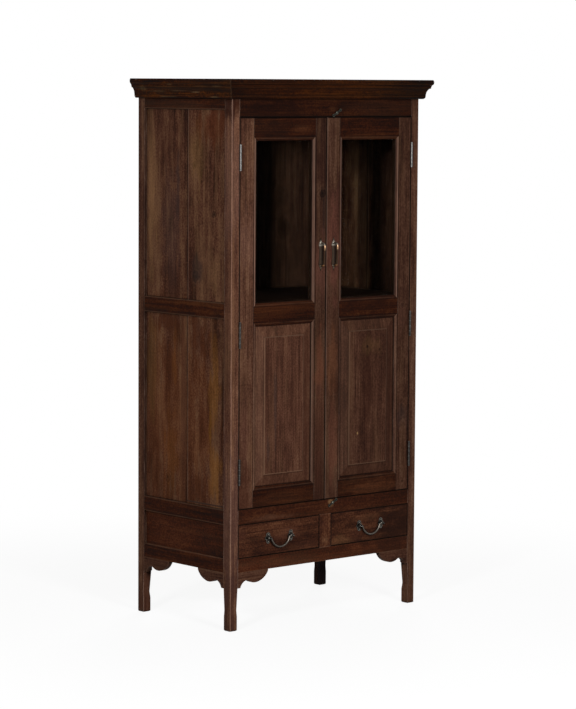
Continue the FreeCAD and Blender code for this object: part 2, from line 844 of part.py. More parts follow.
def turn_button(x, level):
    """A double-ended button and the screw it turns on, turned aside from the door."""
    front = -button_standoff - button_thickness
    centre = Vector(x, front, level)
    back = Vector(0, button_thickness, 0)
    tip = button_half_length - button_lobe_radius
    pieces = [Part.makeCylinder(button_hub_radius, button_thickness, centre, Vector(0, 1, 0))]
    for end in (-tip, tip):
        pieces.append(Part.makeCylinder(button_lobe_radius, button_thickness,
                                        centre + Vector(0, 0, end), Vector(0, 1, 0)))
    half_waist = button_waist_width / 2
    bar = box(x - half_waist, x + half_waist, front, front + button_thickness,
              level - tip, level + tip)
    button = fused([*pieces, bar])
    bore = Part.makeCylinder(button_screw_radius + running_clearance, button_thickness,
                             centre, Vector(0, 1, 0))
    button = turned(button.cut(bore), centre, Vector(0, 1, 0), button_rest_angle)
    seat = front - button_standoff
    shank = Part.makeCylinder(button_screw_radius, button_screw_length - seat,
                              Vector(x, seat, level), Vector(0, 1, 0))
    crown = (button_head_radius ** 2 + button_head_height ** 2) / (2 * button_head_height)
    dome = Part.makeSphere(crown, Vector(x, seat + crown - button_head_height, level))
    cap = Part.makeCylinder(button_head_radius + overrun, button_head_height,
                            Vector(x, seat, level), Vector(0, -1, 0))
    return button, shank.fuse(dome.common(cap))


# Drawers


def drawer_lines():
    """Left edge, right edge, bottom and top of the left drawer's front."""
    return (-half_opening + drawer_gap, -divider_width / 2 - drawer_gap,
            drawer_opening_level + drawer_gap, drawer_rail_level - drawer_gap)


def drawer_box():
    """Front, sides, back and bottom of the left drawer."""
    x0, x1, z0, z1 = drawer_lines()
    back = carcass_depth - board_recess_depth - board_thickness - drawer_back_gap
    low = drawer_opening_level + runner_clearance
    high = z1 - drawer_side_drop
    front = eased_blank(x0, x1, drawer_front_thickness, z0, z1, drawer_arris_width)
    t, lap = drawer_side_thickness, drawer_front_thickness / 2
    sides = [box(x0, x0 + t, lap, back, low, high), box(x1 - t, x1, lap, back, low, high)]
    end = box(x0 + t, x1 - t, back - t, back, low + drawer_bottom_lift, high)
    base_level = low + drawer_bottom_lift
    base = box(x0 + t - drawer_bottom_groove_depth, x1 - t + drawer_bottom_groove_depth,
               drawer_front_thickness - drawer_bottom_groove_depth, back,
               base_level, base_level + drawer_bottom_thickness)
    sides = [housed(piece, [base]) for piece in sides]
    sides = [piece.cut(box(x0, x1, lap, drawer_front_thickness, low, z0)) for piece in sides]
    end = housed(end, [base])
    front = housed(front, [base, *sides])
    return front, [*sides, end, base]


def handle_plate(x):
    """One lobed plate with its post: the ball that takes the bail's pin, and a knob."""
    out = Vector(0, -1, 0)
    face = Vector(x, 0, handle_level)
    upright = Vector(0, 0, handle_plate_height / 2 - handle_upright_lobe_radius)
    across = Vector(handle_plate_width / 2 - handle_side_lobe_radius, 0, 0)
    lobes = [(face + upright, handle_upright_lobe_radius),
             (face - upright, handle_upright_lobe_radius),
             (face + across, handle_side_lobe_radius),
             (face - across, handle_side_lobe_radius)]
    discs = [Part.makeCylinder(radius, handle_plate_thickness, place, out)
             for place, radius in lobes]
    ball_centre = face + out * handle_reach
    post = [Part.makeCylinder(handle_post_radius, handle_reach, face, out),
            Part.makeSphere(handle_ball_radius, ball_centre),
            Part.makeCylinder(handle_neck_radius, handle_knob_reach, face, out),
            Part.makeSphere(handle_knob_radius, face + out * handle_knob_reach)]
    bore = Part.makeCylinder(bail_pin_radius + running_clearance, 4 * handle_ball_radius,
                             ball_centre - Vector(2 * handle_ball_radius, 0, 0),
                             Vector(1, 0, 0))
    return fused([*discs, *post]).cut(bore)


def bail(centre):
    """The bail: a deep arc whose ends turn outwards into the pins it swings on."""
    y, z = -handle_reach, handle_level
    sag = bail_drop - bail_shoulder_drop
    radius = (bail_half_width ** 2 + sag ** 2) / (2 * sag)
    lean = math.asin(bail_half_width / radius)
    turn = bail_shoulder_drop / (1 - math.cos(lean))
    end = bail_half_width + turn * math.sin(lean)

    def at(x, down):
        return Vector(centre + x, y, z - down)

    half = lean / 2
    mid_x = bail_half_width + turn * (math.sin(lean) - math.sin(half))
    mid_down = turn * (1 - math.cos(half))
    shoulders = [at(-bail_half_width, bail_shoulder_drop), at(bail_half_width, bail_shoulder_drop)]
    path = Part.Wire([
        Part.Arc(at(-end, 0), at(-mid_x, mid_down), shoulders[0]).toShape(),
        Part.Arc(shoulders[0], at(0, bail_drop), shoulders[1]).toShape(),
        Part.Arc(shoulders[1], at(mid_x, mid_down), at(end, 0)).toShape()])
    ring = Part.Wire([Part.makeCircle(bail_radius, at(-end, 0), Vector(1, 0, 0))])
    rod = path.makePipeShell([ring], True, False)
    tip = handle_half_span + handle_ball_radius - bail_pin_radius
    reach = tip - end + bail_radius
    pins = [Part.makeCylinder(bail_pin_radius, reach, at(-tip, 0), Vector(1, 0, 0)),
            Part.makeCylinder(bail_pin_radius, reach, at(tip, 0), Vector(-1, 0, 0))]
    return rod.fuse(pins)


# Assembly


def assemble():
    """Every sub-part by its name, as one solid or a list of solids."""
    parts = {}
    left_rails, right_rails = side_rails("left"), side_rails("right")
    back_rails = side_rails("back")
    left_boards, right_boards = side_boards("left"), side_boards("right")
    rear_boards = back_boards()
    front = front_frame()
    boards = [*left_boards, *right_boards, *rear_boards]
    tenoned = [*left_rails, *right_rails, *back_rails, front["front_top_rail"],
               front["drawer_rail"], front["front_bottom_rail"]]

    hinges = {"frame": [], "door": [], "pin": []}
    for level in hinge_levels:
        frame_leaf, door_leaf, pin = hinge_parts(level)
        hinges["frame"].append(frame_leaf)
        hinges["door"].append(door_leaf)
        hinges["pin"].append(pin)
    right_hinges = {key: [mirrored(piece) for piece in value] for key, value in hinges.items()}

    for name, post in posts().items():
        parts[name] = housed(post, [*tenoned, *boards, *hinges["frame"], *right_hinges["frame"]])

    top_button, top_screw = turn_button(top_button_place, top_rail_level - door_gap
                                        + button_edge_distance)
    bottom_button, bottom_screw = turn_button(bottom_button_place, door_opening_level + door_gap
                                              - button_edge_distance)
    screws = [top_screw, bottom_screw]
    for name, piece in front.items():
        others = screws if name == "drawer_divider" else [front["drawer_divider"], *screws]
        parts[name] = housed(piece, others)
    parts["left_side_rails"] = [housed(piece, left_boards) for piece in left_rails]
    parts["right_side_rails"] = [housed(piece, right_boards) for piece in right_rails]
    parts["back_rails"] = [housed(piece, rear_boards) for piece in back_rails]
    parts["left_side_boards"] = left_boards
    parts["right_side_boards"] = right_boards
    parts["back_boards"] = rear_boards
    parts["top_board"] = top_board()
    parts.update(cornice())
    upright = [piece for name, piece in parts.items() if name.endswith("_post")]
    parts["cupboard_floor"] = housed(cupboard_floor(), [*upright, *boards])
    parts["shelf"] = housed(shelf(), upright)
    parts["shelf_bearers"] = shelf_bearers()
    parts["top_door_stop"] = top_door_stop()
    parts["drawer_runners"] = drawer_runners()
    parts["drawer_guides"] = drawer_guides()
    parts["drawer_kickers"] = drawer_kickers()
    parts.update(brackets())

    seam = door_seam / 2
    left_width = half_opening - door_gap + door_meeting - seam
    right_width = half_opening - door_gap - door_meeting - seam
    place = Vector(door_gap - half_opening, 0, door_opening_level + door_gap)
    sizes_by_hand = {
        "left": (left_width, left_hinge_stile_width, left_meeting_stile_width,
                 left_pull_inset),
        "right": (right_width, right_hinge_stile_width, right_meeting_stile_width,
                  right_pull_inset),
    }
    for hand, sizes in sizes_by_hand.items():
        for name, piece in door(*sizes).items():
            pieces = piece if isinstance(piece, list) else [piece]
            moved = [shape.translated(place) for shape in pieces]
            if name == "hinge_stile":
                moved = [housed(shape, hinges["door"]) for shape in moved]
            if hand == "right":
                moved = [mirrored(shape) for shape in moved]
            parts[f"{hand}_door_{name}"] = moved
        own = hinges if hand == "left" else right_hinges
        parts[f"{hand}_hinge_frame_leaves"] = own["frame"]
        parts[f"{hand}_hinge_door_leaves"] = own["door"]
        parts[f"{hand}_hinge_pins"] = own["pin"]

    parts["top_turn_button"] = top_button
    parts["bottom_turn_button"] = bottom_button
    parts["turn_button_screws"] = screws

    drawer_front, drawer_sides = drawer_box()
    parts["left_drawer_front"] = drawer_front
    parts["right_drawer_front"] = mirrored(drawer_front)
    parts["left_drawer_box"] = drawer_sides
    parts["right_drawer_box"] = [mirrored(shape) for shape in drawer_sides]
    drawer_middle = -sum(drawer_lines()[:2]) / 2
    for hand, centre in (("left", -drawer_middle), ("right", drawer_middle)):
        parts[f"{hand}_drawer_handle_plates"] = [handle_plate(centre - handle_half_span),
                                                handle_plate(centre + handle_half_span)]
        parts[f"{hand}_drawer_bail"] = bail(centre)
    return parts


def write(parts):
    """One STEP file per sub-part, in the frame at the middle of the footprint."""
    os.makedirs("parts", exist_ok=True)
    for name, piece in parts.items():
        pieces = piece if isinstance(piece, list) else [piece]
        solids = [solid.translated(frame_shift) for shape in pieces for solid in shape.Solids]
        shape = solids[0] if len(solids) == 1 else Part.makeCompound(solids)
        shape.exportStep(f"parts/{name}.step")


write(assemble())
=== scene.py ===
import math
from collections import namedtuple

import bpy
from mathutils import Matrix, Vector


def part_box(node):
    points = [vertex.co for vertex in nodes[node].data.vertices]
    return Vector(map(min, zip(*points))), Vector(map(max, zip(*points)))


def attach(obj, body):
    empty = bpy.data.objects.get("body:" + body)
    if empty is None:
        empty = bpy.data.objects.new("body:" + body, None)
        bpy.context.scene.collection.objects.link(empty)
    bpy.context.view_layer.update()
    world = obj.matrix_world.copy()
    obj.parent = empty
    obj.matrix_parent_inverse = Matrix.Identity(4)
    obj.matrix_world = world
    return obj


# A tall glazed cabinet of dark, worn hardwood with iron and brass fittings. The CAD model
# brings every board and fitting; this script gives them their finishes, adds the screws
# and nails, and sets the studio. Lengths are in metres, pattern sizes in millimetres.

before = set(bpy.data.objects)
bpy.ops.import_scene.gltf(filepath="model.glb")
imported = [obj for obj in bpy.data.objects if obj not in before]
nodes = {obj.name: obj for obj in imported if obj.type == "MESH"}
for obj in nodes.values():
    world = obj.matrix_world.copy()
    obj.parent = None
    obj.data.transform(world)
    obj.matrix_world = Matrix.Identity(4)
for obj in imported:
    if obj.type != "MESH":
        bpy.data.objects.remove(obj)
bpy.ops.object.select_all(action="DESELECT")
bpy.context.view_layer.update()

# Camera, as the photograph was taken: from the front left, a little above the doors' middle
CAMERA_PLACE = (-6.61785, -7.53024, 1.89116)
CAMERA_YAW = 41.431
CAMERA_PITCH = -5.5436
CAMERA_ROLL = 0.3416
CAMERA_LENS = 142.68
CAMERA_REACH = 100

# The floor's radius, the width of its rim, and how far out its shadow fades and is gone
FLOOR_RADIUS = 14
FLOOR_RIM = 11
SHADOW_KEPT = 0.9
SHADOW_GONE = 2.6

# The even light's strength, and each soft box: name, place, target, size and watts
EVEN_LIGHT = 0.02
LAMPS = (("front lamp", (-1.39, -5.25, 2.2), (0, -0.2, 1.2), 1.0, 215),
         ("side lamp", (-4.6, -2.3, 2.6), (-0.2, 0, 1.1), 0.6, 145),
         ("back lamp", (4.2, 3.6, 2.6), (0, 0, 1.0), 2.4, 170))

# The front plane of posts, doors and drawers, and how thick the plates on it are
POST_FRONT = -0.2355
PULL_PLATE = 0.002
HANDLE_PLATE = 0.0024

# Sockets of the mix node when it mixes colours
FACTOR, FIRST, SECOND, MIXED = 0, 6, 7, 2


def linear(hex_colour, strength=1.0):
    """The linear colour of an sRGB hex value, made darker or brighter by a strength."""
    channels = [int(hex_colour[i:i + 2], 16) / 255 for i in (0, 2, 4)]
    curve = [c / 12.92 if c <= 0.04045 else ((c + 0.055) / 1.055) ** 2.4 for c in channels]
    return (*[c * strength for c in curve], 1.0)


def add_node(tree, kind, inputs=None, output=0, stops=(), **settings):
    """Adds a node with its settings and links, and returns one of its outputs."""
    node = tree.nodes.new(kind)
    for name, value in settings.items():
        setattr(node, name, value)
    for socket, value in (inputs or {}).items():
        if isinstance(value, bpy.types.NodeSocket):
            tree.links.new(value, node.inputs[socket])
        else:
            node.inputs[socket].default_value = value
    for order, (position, colour) in enumerate(stops):
        ramp = node.color_ramp.elements
        if order == len(ramp):
            ramp.new(1.0)
        ramp[order].position = position
        ramp[order].color = colour
    return node.outputs[output]


def new_material(name):
    """An empty node material and its output."""
    material = bpy.data.materials.new(name)
    material.use_nodes = True
    tree = material.node_tree
    tree.nodes.clear()
    return material, tree, tree.nodes.new("ShaderNodeOutputMaterial")


# Studio


def place_camera():
    """The camera at the photograph's place, with its slight tilt to the side."""
    camera = bpy.data.objects.new("camera", bpy.data.cameras.new("camera"))
    bpy.context.scene.collection.objects.link(camera)
    turn = (Matrix.Rotation(math.radians(-CAMERA_YAW), 4, "Z")
            @ Matrix.Rotation(math.radians(90 + CAMERA_PITCH), 4, "X")
            @ Matrix.Rotation(math.radians(CAMERA_ROLL), 4, "Z"))
    camera.matrix_world = Matrix.Translation(CAMERA_PLACE) @ turn
    camera.data.lens = CAMERA_LENS
    camera.data.sensor_width = 36
    camera.data.clip_end = CAMERA_REACH
    bpy.context.scene.camera = camera


def place_floor():
    """A white floor that keeps the soft shadow and runs out into the white backdrop."""
    bpy.ops.mesh.primitive_circle_add(vertices=96, radius=FLOOR_RADIUS, fill_type="NGON")
    floor = bpy.context.object
    floor.name = "floor"
    bpy.ops.object.mode_set(mode="EDIT")
    bpy.ops.mesh.inset(thickness=FLOOR_RIM)
    bpy.ops.object.mode_set(mode="OBJECT")
    material, tree, output = new_material("white studio floor")
    place = add_node(tree, "ShaderNodeTexCoord", output="Object")
    distance = add_node(tree, "ShaderNodeVectorMath", {0: place}, "Value", operation="LENGTH")
    fade = add_node(tree, "ShaderNodeMapRange", {
        "Value": distance, "From Min": SHADOW_KEPT, "From Max": SHADOW_GONE},
        interpolation_type="SMOOTHSTEP")
    paint = add_node(tree, "ShaderNodeBsdfDiffuse", {"Color": linear("606060")})
    glow = add_node(tree, "ShaderNodeEmission", {"Color": linear("FFFFFF"), "Strength": 0.9})
    lit = add_node(tree, "ShaderNodeAddShader", {0: paint, 1: glow})
    white = add_node(tree, "ShaderNodeEmission", {"Color": linear("FFFFFF")})
    seen = add_node(tree, "ShaderNodeMixShader", {0: fade, 1: lit, 2: white})
    mixed = add_node(tree, "ShaderNodeMixShader", {0: seen_rays(tree), 1: paint, 2: seen})
    tree.links.new(mixed, output.inputs["Surface"])
    floor.data.materials.append(material)


def seen_rays(tree):
    """One for a ray from the camera, a mirror or a pane, zero for a ray that only lights."""
    seen = 0.0
    for ray in ("Is Camera Ray", "Is Glossy Ray", "Is Transmission Ray"):
        kind = add_node(tree, "ShaderNodeLightPath", output=ray)
        seen = add_node(tree, "ShaderNodeMath", {0: kind, 1: seen}, operation="MAXIMUM")
    return seen


def light_world(strength):
    """White behind the object, and a dimmer even light all round it."""
    world = bpy.data.worlds.new("studio")
    bpy.context.scene.world = world
    world.use_nodes = True
    tree = world.node_tree
    tree.nodes.clear()
    level = add_node(tree, "ShaderNodeMapRange", {"Value": seen_rays(tree), "To Min": strength})
    white = add_node(tree, "ShaderNodeBackground", {
        "Color": linear("FFFFFF"), "Strength": level})
    output = tree.nodes.new("ShaderNodeOutputWorld")
    tree.links.new(white, output.inputs["Surface"])


def hang_lamp(name, place, target, size, power):
    """A square soft box that faces a point of the object."""
    lamp = bpy.data.objects.new(name, bpy.data.lights.new(name, "AREA"))
    bpy.context.scene.collection.objects.link(lamp)
    lamp.data.size = size
    lamp.data.energy = power
    lamp.location = place
    lamp.rotation_euler = (Vector(target) - Vector(place)).to_track_quat("-Z", "Y").to_euler()


# Wood

# What one kind of board looks like: its palette from dark streak to worn ridge, its tints
# where it is bare and rubbed, how strongly old stain lies in patches, how much streaks,
# mottling, pores and grit show, how much of the finish is gone, and how far its edges are
# rubbed
Wood = namedtuple("Wood", "palette bare rubbed patches streaks mottle pores grit worn edges")

# Teak or elm under an old dark stain that hands and cloths have rubbed thin: pinkish-grey
# where it is worn, with fine upright streaks and pale arrises
UPRIGHT = Wood(("2B1812", "452A1F", "5C3D2E", "785845"), "74553C", "A98C7C",
               0.5, 0.85, 0.3, 0.5, 0.5, 0.25, 0.65)
# The same timber lying down keeps more of its stain: redder and darker, with flowing grain
LYING = Wood(("190904", "2E140A", "431F10", "5D341D"), "5C3B25", "86664E",
             0.5, 0.9, 0.3, 0.6, 0.65, 0.2, 0.35)
# Near the floor it was oiled often: even, with little figure
LOW = Wood(("1E0E09", "2F170D", "3F1E11", "55301D"), "5A3B27", "86664E",
           0.6, 0.4, 0.35, 0.4, 0.7, 0.15, 0.35)
# Drawers are handled and dusted more, which has dulled the red
DRAWERS = Wood(("1B0C08", "2F180F", "412417", "593826"), "5C3E2A", "86685A",
               0.7, 0.55, 0.4, 0.4, 0.7, 0.2, 0.35)
# The moulding has the darkest stain, crossed by orange-brown figure
MOULDING = Wood(("120502", "240C04", "3C1A09", "6C3A16"), "664020", "86684E",
                0.8, 1.5, 0.5, 0.8, 0.9, 0.25, 0.25)
# Wide boards, streaked from red-brown to a dry olive tan where the finish has gone
BOARDS = Wood(("28130B", "41251A", "5A392A", "74533C"), "7A5A40", "8F7058",
              1.0, 0.4, 0.5, 0.4, 0.7, 0.35, 0.5)
# Panels of the same boards, which sit back from the wear
PANELS = Wood(("2B1812", "44291E", "5A3A2C", "72523E"), "6C4E38", "8F7058",
              0.4, 0.75, 0.25, 0.5, 0.5, 0.25, 0.5)
# Inside boards had one thin coat and no wear
INSIDE = Wood(("1C0F0C", "2F1C15", "412A20", "56392B"), "4E3528", "5C4335",
              0.5, 0.8, 0.3, 0.5, 0.3, 0.1, 0.2)

# The grain's features, each in millimetres across and along the grain. Pores and grit are
# drawn about ten times too wide, so that the render can show them
PATCHES = (75, 420)
STREAKS = (22, 800)
MOTTLE = (30, 60)
PORES = (5, 150)
GRIT = (5, 7)
STRIPPED = (46, 520)
RUBBING = (14, 60)

# Where the palette's tints lie on the grain's value
PALETTE_STOPS = (0.22, 0.42, 0.58, 0.8)

# Where a knot's dark middle ends, where its rim and its rings end, in its own radii, how
# much mottling makes it ragged, and how close its rings lie
KNOT_MIDDLE, KNOT_RIM, KNOT_REACH = 1.2, 2.3, 3.6
KNOT_FRAY = 2.2
KNOT_RINGS = 9.0

# How far in metres the painted shade and dirt reach out of a corner, and rubbing over an edge
SHADE_AND_DIRT_REACH = 0.018
EDGE_REACH = 0.003


def grain(tree, place, axis, size, detail, shift):
    """Noise drawn out along the grain, whose broadest feature has this size across and
    along it in millimetres, and which a shift moves to a stretch of its own."""
    across, along = size
    scale = [1000 / across] * 3
    scale["xyz".index(axis)] = 1000 / along
    mapped = add_node(tree, "ShaderNodeMapping", {
        "Vector": place, "Location": (shift, 1.7 * shift, 0.3 - shift), "Scale": scale})
    return add_node(tree, "ShaderNodeTexNoise", {
        "Vector": mapped, "Scale": 1.0, "Detail": detail, "Roughness": 0.72}, "Fac")


def laid_over(tree, layers):
    """One half, and on it each layer's swing about its own middle, times its weight."""
    total = 0.5 - sum(weight for layer, weight in layers) / 2
    for layer, weight in layers:
        total = add_node(tree, "ShaderNodeMath", {0: layer, 1: weight, 2: total},
                         operation="MULTIPLY_ADD")
    return total


def under_coats(tree, colour, coats):
    """A colour under coats: each passes to its tint as its share goes from zero to one."""
    for share, tint in coats:
        colour = add_node(tree, "ShaderNodeMix", {
            FACTOR: share, FIRST: colour, SECOND: tint}, MIXED, data_type="RGBA")
    return colour


def distance_across(tree, place, plane, centre, radii):
    """Distance from a point in the plane xz or yz, where the oval's edge is at one."""
    scale, offset = [0.0] * 3, [0.0] * 3
    for axis, middle, radius in zip(plane, centre, radii):
        scale["xyz".index(axis)] = 1000 / radius
        offset["xyz".index(axis)] = -middle / radius
    local = add_node(tree, "ShaderNodeMapping", {
        "Vector": place, "Location": offset, "Scale": scale})
    return add_node(tree, "ShaderNodeVectorMath", {0: local}, "Value", operation="LENGTH")


def along_rectangle(tree, place, plane, corners, half_width):
    """One on the outline of a rectangle in the plane xz or yz, zero away from it."""
    distances = []
    for axis, low, high in zip(plane, *corners):
        level = add_node(tree, "ShaderNodeSeparateXYZ", {0: place}, axis.upper())
        offset = add_node(tree, "ShaderNodeMath", {0: level, 1: (low + high) / 2},
                          operation="SUBTRACT")
        offset = add_node(tree, "ShaderNodeMath", {0: offset}, operation="ABSOLUTE")
        distances.append(add_node(tree, "ShaderNodeMath", {0: offset, 1: (high - low) / 2},
                                  operation="SUBTRACT"))
    outline = add_node(tree, "ShaderNodeMath", {0: distances[0], 1: distances[1]},
                       operation="MAXIMUM")
    outline = add_node(tree, "ShaderNodeMath", {0: outline}, operation="ABSOLUTE")
    return add_node(tree, "ShaderNodeMapRange", {
        "Value": outline, "From Min": 0.5 * half_width / 1000,
        "From Max": 1.5 * half_width / 1000, "To Min": 1.0, "To Max": 0.0})


def board_places(tree, seams):
    """Object coordinates that jump at each seam, so that every board has its own grain."""
    place = add_node(tree, "ShaderNodeTexCoord", output="Object")
    for order, (axis, level) in enumerate(seams):
        height = add_node(tree, "ShaderNodeSeparateXYZ", {0: place}, axis.upper())
        beyond = add_node(tree, "ShaderNodeMath", {0: height, 1: level},
                          operation="GREATER_THAN")
        place = add_node(tree, "ShaderNodeVectorMath", {
            0: beyond, 1: [1.3 + 0.9 * order] * 3, 2: place}, operation="MULTIPLY_ADD")
    return place


# How far off a back is put for the marks and lines
FAR_OFF = 9.0


def drawing_place(tree):
    """Object coordinates for marks and lines, far off on a back, so that none show there."""
    place = add_node(tree, "ShaderNodeTexCoord", output="Object")
    normal = add_node(tree, "ShaderNodeTexCoord", output="Normal")
    backward = add_node(tree, "ShaderNodeSeparateXYZ", {0: normal}, "Y")
    back = add_node(tree, "ShaderNodeMath", {0: backward, 1: 0.5}, operation="GREATER_THAN")
    return add_node(tree, "ShaderNodeVectorMath", {0: back, 1: [FAR_OFF] * 3, 2: place},
                    operation="MULTIPLY_ADD")


def knot_layers(tree, place, plane, mottle, tone, knots):
    """A knot draws the grain round itself in rings and is dark in its middle."""
    layers, cores = [], []
    for centre, radii, strength in knots:
        distance = distance_across(tree, place, plane, centre, radii)
        ragged = add_node(tree, "ShaderNodeMath", {0: mottle, 1: KNOT_FRAY, 2: distance},
                          operation="MULTIPLY_ADD")
        rings = add_node(tree, "ShaderNodeMath", {0: ragged, 1: KNOT_RINGS},
                         operation="MULTIPLY")
        rings = add_node(tree, "ShaderNodeMath", {0: rings}, operation="SINE")
        near = add_node(tree, "ShaderNodeMapRange", {
            "Value": ragged, "From Min": KNOT_MIDDLE, "From Max": KNOT_REACH,
            "To Min": 0.14 * strength, "To Max": 0.0})
        layers.append((add_node(tree, "ShaderNodeMath", {0: rings, 1: near, 2: 0.5},
                                operation="MULTIPLY_ADD"), 1.0))
        core = add_node(tree, "ShaderNodeMapRange", {
            "Value": ragged, "From Min": KNOT_MIDDLE, "From Max": KNOT_RIM,
            "To Min": strength, "To Max": 0.0})
        cores.append((core, linear("1C100A", tone)))
    return layers, cores


def mark_coats(tree, place, plane, streaks, mottle, value, tone, marks):
    """Marks of age, and some painted shade: ovals frayed along the grain, through which the
    fibres show.
    """
    fibres = add_node(tree, "ShaderNodeMath", {0: value, 1: 1.4, 2: 0.3},
                      operation="MULTIPLY_ADD")
    coats = []
    for centre, radii, tint, strength in marks:
        distance = distance_across(tree, place, plane, centre, radii)
        frayed = laid_over(tree, [(distance, 1.0), (streaks, 2.8), (mottle, 1.8)])
        share = add_node(tree, "ShaderNodeMapRange", {
            "Value": frayed, "From Min": 0.35, "From Max": 1.25, "To Min": strength,
            "To Max": 0.0}, interpolation_type="SMOOTHSTEP")
        coats.append((share, add_node(tree, "ShaderNodeVectorMath", {
            0: linear(tint, tone)[:3], "Scale": fibres}, operation="SCALE")))
    return coats


def slope_light_and_shade(tree, tone, slopes):
    """Painted light and shade on sloping faces: each face takes a tint as it turns towards one
    side.
    """
    normal = add_node(tree, "ShaderNodeTexCoord", output="Normal")
    coats = []
    for axis, start, steep, tint, strength in slopes:
        part = add_node(tree, "ShaderNodeSeparateXYZ", {0: normal}, axis.upper())
        share = add_node(tree, "ShaderNodeMapRange", {
            "Value": part, "From Min": start, "From Max": steep, "To Max": strength})
        coats.append((share, linear(tint, tone)))
    return coats


def shade_and_wear_coats(tree, wood, patchy, tone):
    """Painted shade, with some dirt, darkens the corners, and edges are rubbed through, more in
    some places than in others."""
    # Painted shade, with some dirt, where an occlusion test finds a corner
    corner = add_node(tree, "ShaderNodeAmbientOcclusion", {"Distance": SHADE_AND_DIRT_REACH}, "AO",
                      samples=6)
    painted_shade = add_node(tree, "ShaderNodeMapRange", {
        "Value": corner, "From Min": 0.35, "From Max": 0.85, "To Min": 0.6, "To Max": 0.0})
    edge = add_node(tree, "ShaderNodeAmbientOcclusion", {"Distance": EDGE_REACH}, "AO",
                    samples=6, inside=True, only_local=True)
    edge = add_node(tree, "ShaderNodeMath", {0: edge, 1: patchy}, operation="ADD")
    rubbed = add_node(tree, "ShaderNodeMapRange", {
        "Value": edge, "From Min": 0.95, "From Max": 1.3, "To Min": wood.edges,
        "To Max": 0.0})
    return [(painted_shade, linear("120A07", tone)), (rubbed, linear(wood.rubbed, tone))]


def line_coats(tree, place, patchy, tone, lines):
    """Gaps, quirks and humps. Faint lines come and go, while deep ones run through."""
    coats = []
    for plane, corners, half_width, tint, strength in lines:
        line = along_rectangle(tree, place, plane, corners, half_width)
        weight = add_node(tree, "ShaderNodeMapRange", {
            "Value": patchy, "From Min": 0.35, "From Max": 0.6, "To Min": strength ** 2,
            "To Max": strength})
        coats.append((add_node(tree, "ShaderNodeMath", {0: line, 1: weight},
                               operation="MULTIPLY"), linear(tint, tone)))
    return coats


def lining_coat(tree, place, plane, lining):
    """The dark stain and painted shade of a face inside the cabinet, with more painted shade in
    some places.
    """
    level, dark, painted_shade_places = lining
    for centre, radii, strength in painted_shade_places:
        distance = distance_across(tree, place, plane, centre, radii)
        near = add_node(tree, "ShaderNodeMapRange", {
            "Value": distance, "From Min": 0.7, "From Max": 1.2, "To Min": strength,
            "To Max": 0.0})
        dark = add_node(tree, "ShaderNodeMath", {0: near, 1: dark}, operation="MAXIMUM")
    across = add_node(tree, "ShaderNodeSeparateXYZ", {0: place}, "X")
    across = add_node(tree, "ShaderNodeMath", {0: across}, operation="ABSOLUTE")
    inside = add_node(tree, "ShaderNodeMapRange", {
        "Value": across, "From Min": level - 0.001, "From Max": level, "To Min": 1.0,
        "To Max": 0.0})
    share = add_node(tree, "ShaderNodeMath", {0: inside, 1: dark}, operation="MULTIPLY")
    return share, linear("180D0C")


def wood_surface(tree, wood, axis, shift, tone, plane="xz", seams=(), knots=(), marks=(),
                 lines=(), slopes=(), lining=None):
    """Old stained timber. The eye gets long fine streaks, whorls round knots, patches where the
    stain is thick or gone, painted shade and dirt in the corners, stain and painted shade on
    faces inside, painted light and shade on sloping borders, and rubbed pale edges."""
    place = drawing_place(tree)
    own = board_places(tree, seams)
    patches = grain(tree, own, axis, PATCHES, 2.0, shift)
    streaks = grain(tree, own, axis, STREAKS, 5.0, shift + 2.2)
    mottle = grain(tree, own, axis, MOTTLE, 1.5, shift + 4.4)
    pores = grain(tree, own, axis, PORES, 1.5, shift + 7.9)
    grit = grain(tree, own, axis, GRIT, 1.0, shift + 8.6)
    rings, cores = knot_layers(tree, place, plane, mottle, tone, knots)
    value = laid_over(tree, [
        (patches, wood.patches), (streaks, wood.streaks), (mottle, wood.mottle),
        (pores, wood.pores), (grit, wood.grit), *rings])
    colour = add_node(tree, "ShaderNodeValToRGB", {"Fac": value}, "Color", stops=[
        (stop, linear(tint, tone)) for stop, tint in zip(PALETTE_STOPS, wood.palette)])

    # The finish has gone from streaks of some boards, and the dry wood shows
    stripped = grain(tree, own, axis, STRIPPED, 3.0, shift + 6.6)
    gone = add_node(tree, "ShaderNodeMapRange", {
        "Value": laid_over(tree, [(stripped, 1.0), (streaks, 0.5)]),
        "From Min": 0.5, "From Max": 0.68, "To Max": wood.worn})
    patchy = grain(tree, own, axis, RUBBING, 4.0, shift + 9.4)
    coats = [(gone, linear(wood.bare, tone)), *cores,
             *mark_coats(tree, place, plane, streaks, mottle, value, tone, marks),
             *slope_light_and_shade(tree, tone, slopes), *shade_and_wear_coats(tree, wood, patchy, tone),
             *line_coats(tree, place, patchy, tone, lines)]
    if lining:
        coats.append(lining_coat(tree, place, plane, lining))

    bump = add_node(tree, "ShaderNodeBump", {
        "Strength": 0.35, "Distance": 0.0006, "Height": value}, "Normal")
    sheen = add_node(tree, "ShaderNodeMapRange", {
        "Value": value, "To Min": 0.48, "To Max": 0.68})
    return add_node(tree, "ShaderNodeBsdfPrincipled", {
        "Base Color": under_coats(tree, colour, coats), "Roughness": sheen, "Normal": bump,
        "Specular IOR Level": 0.03})


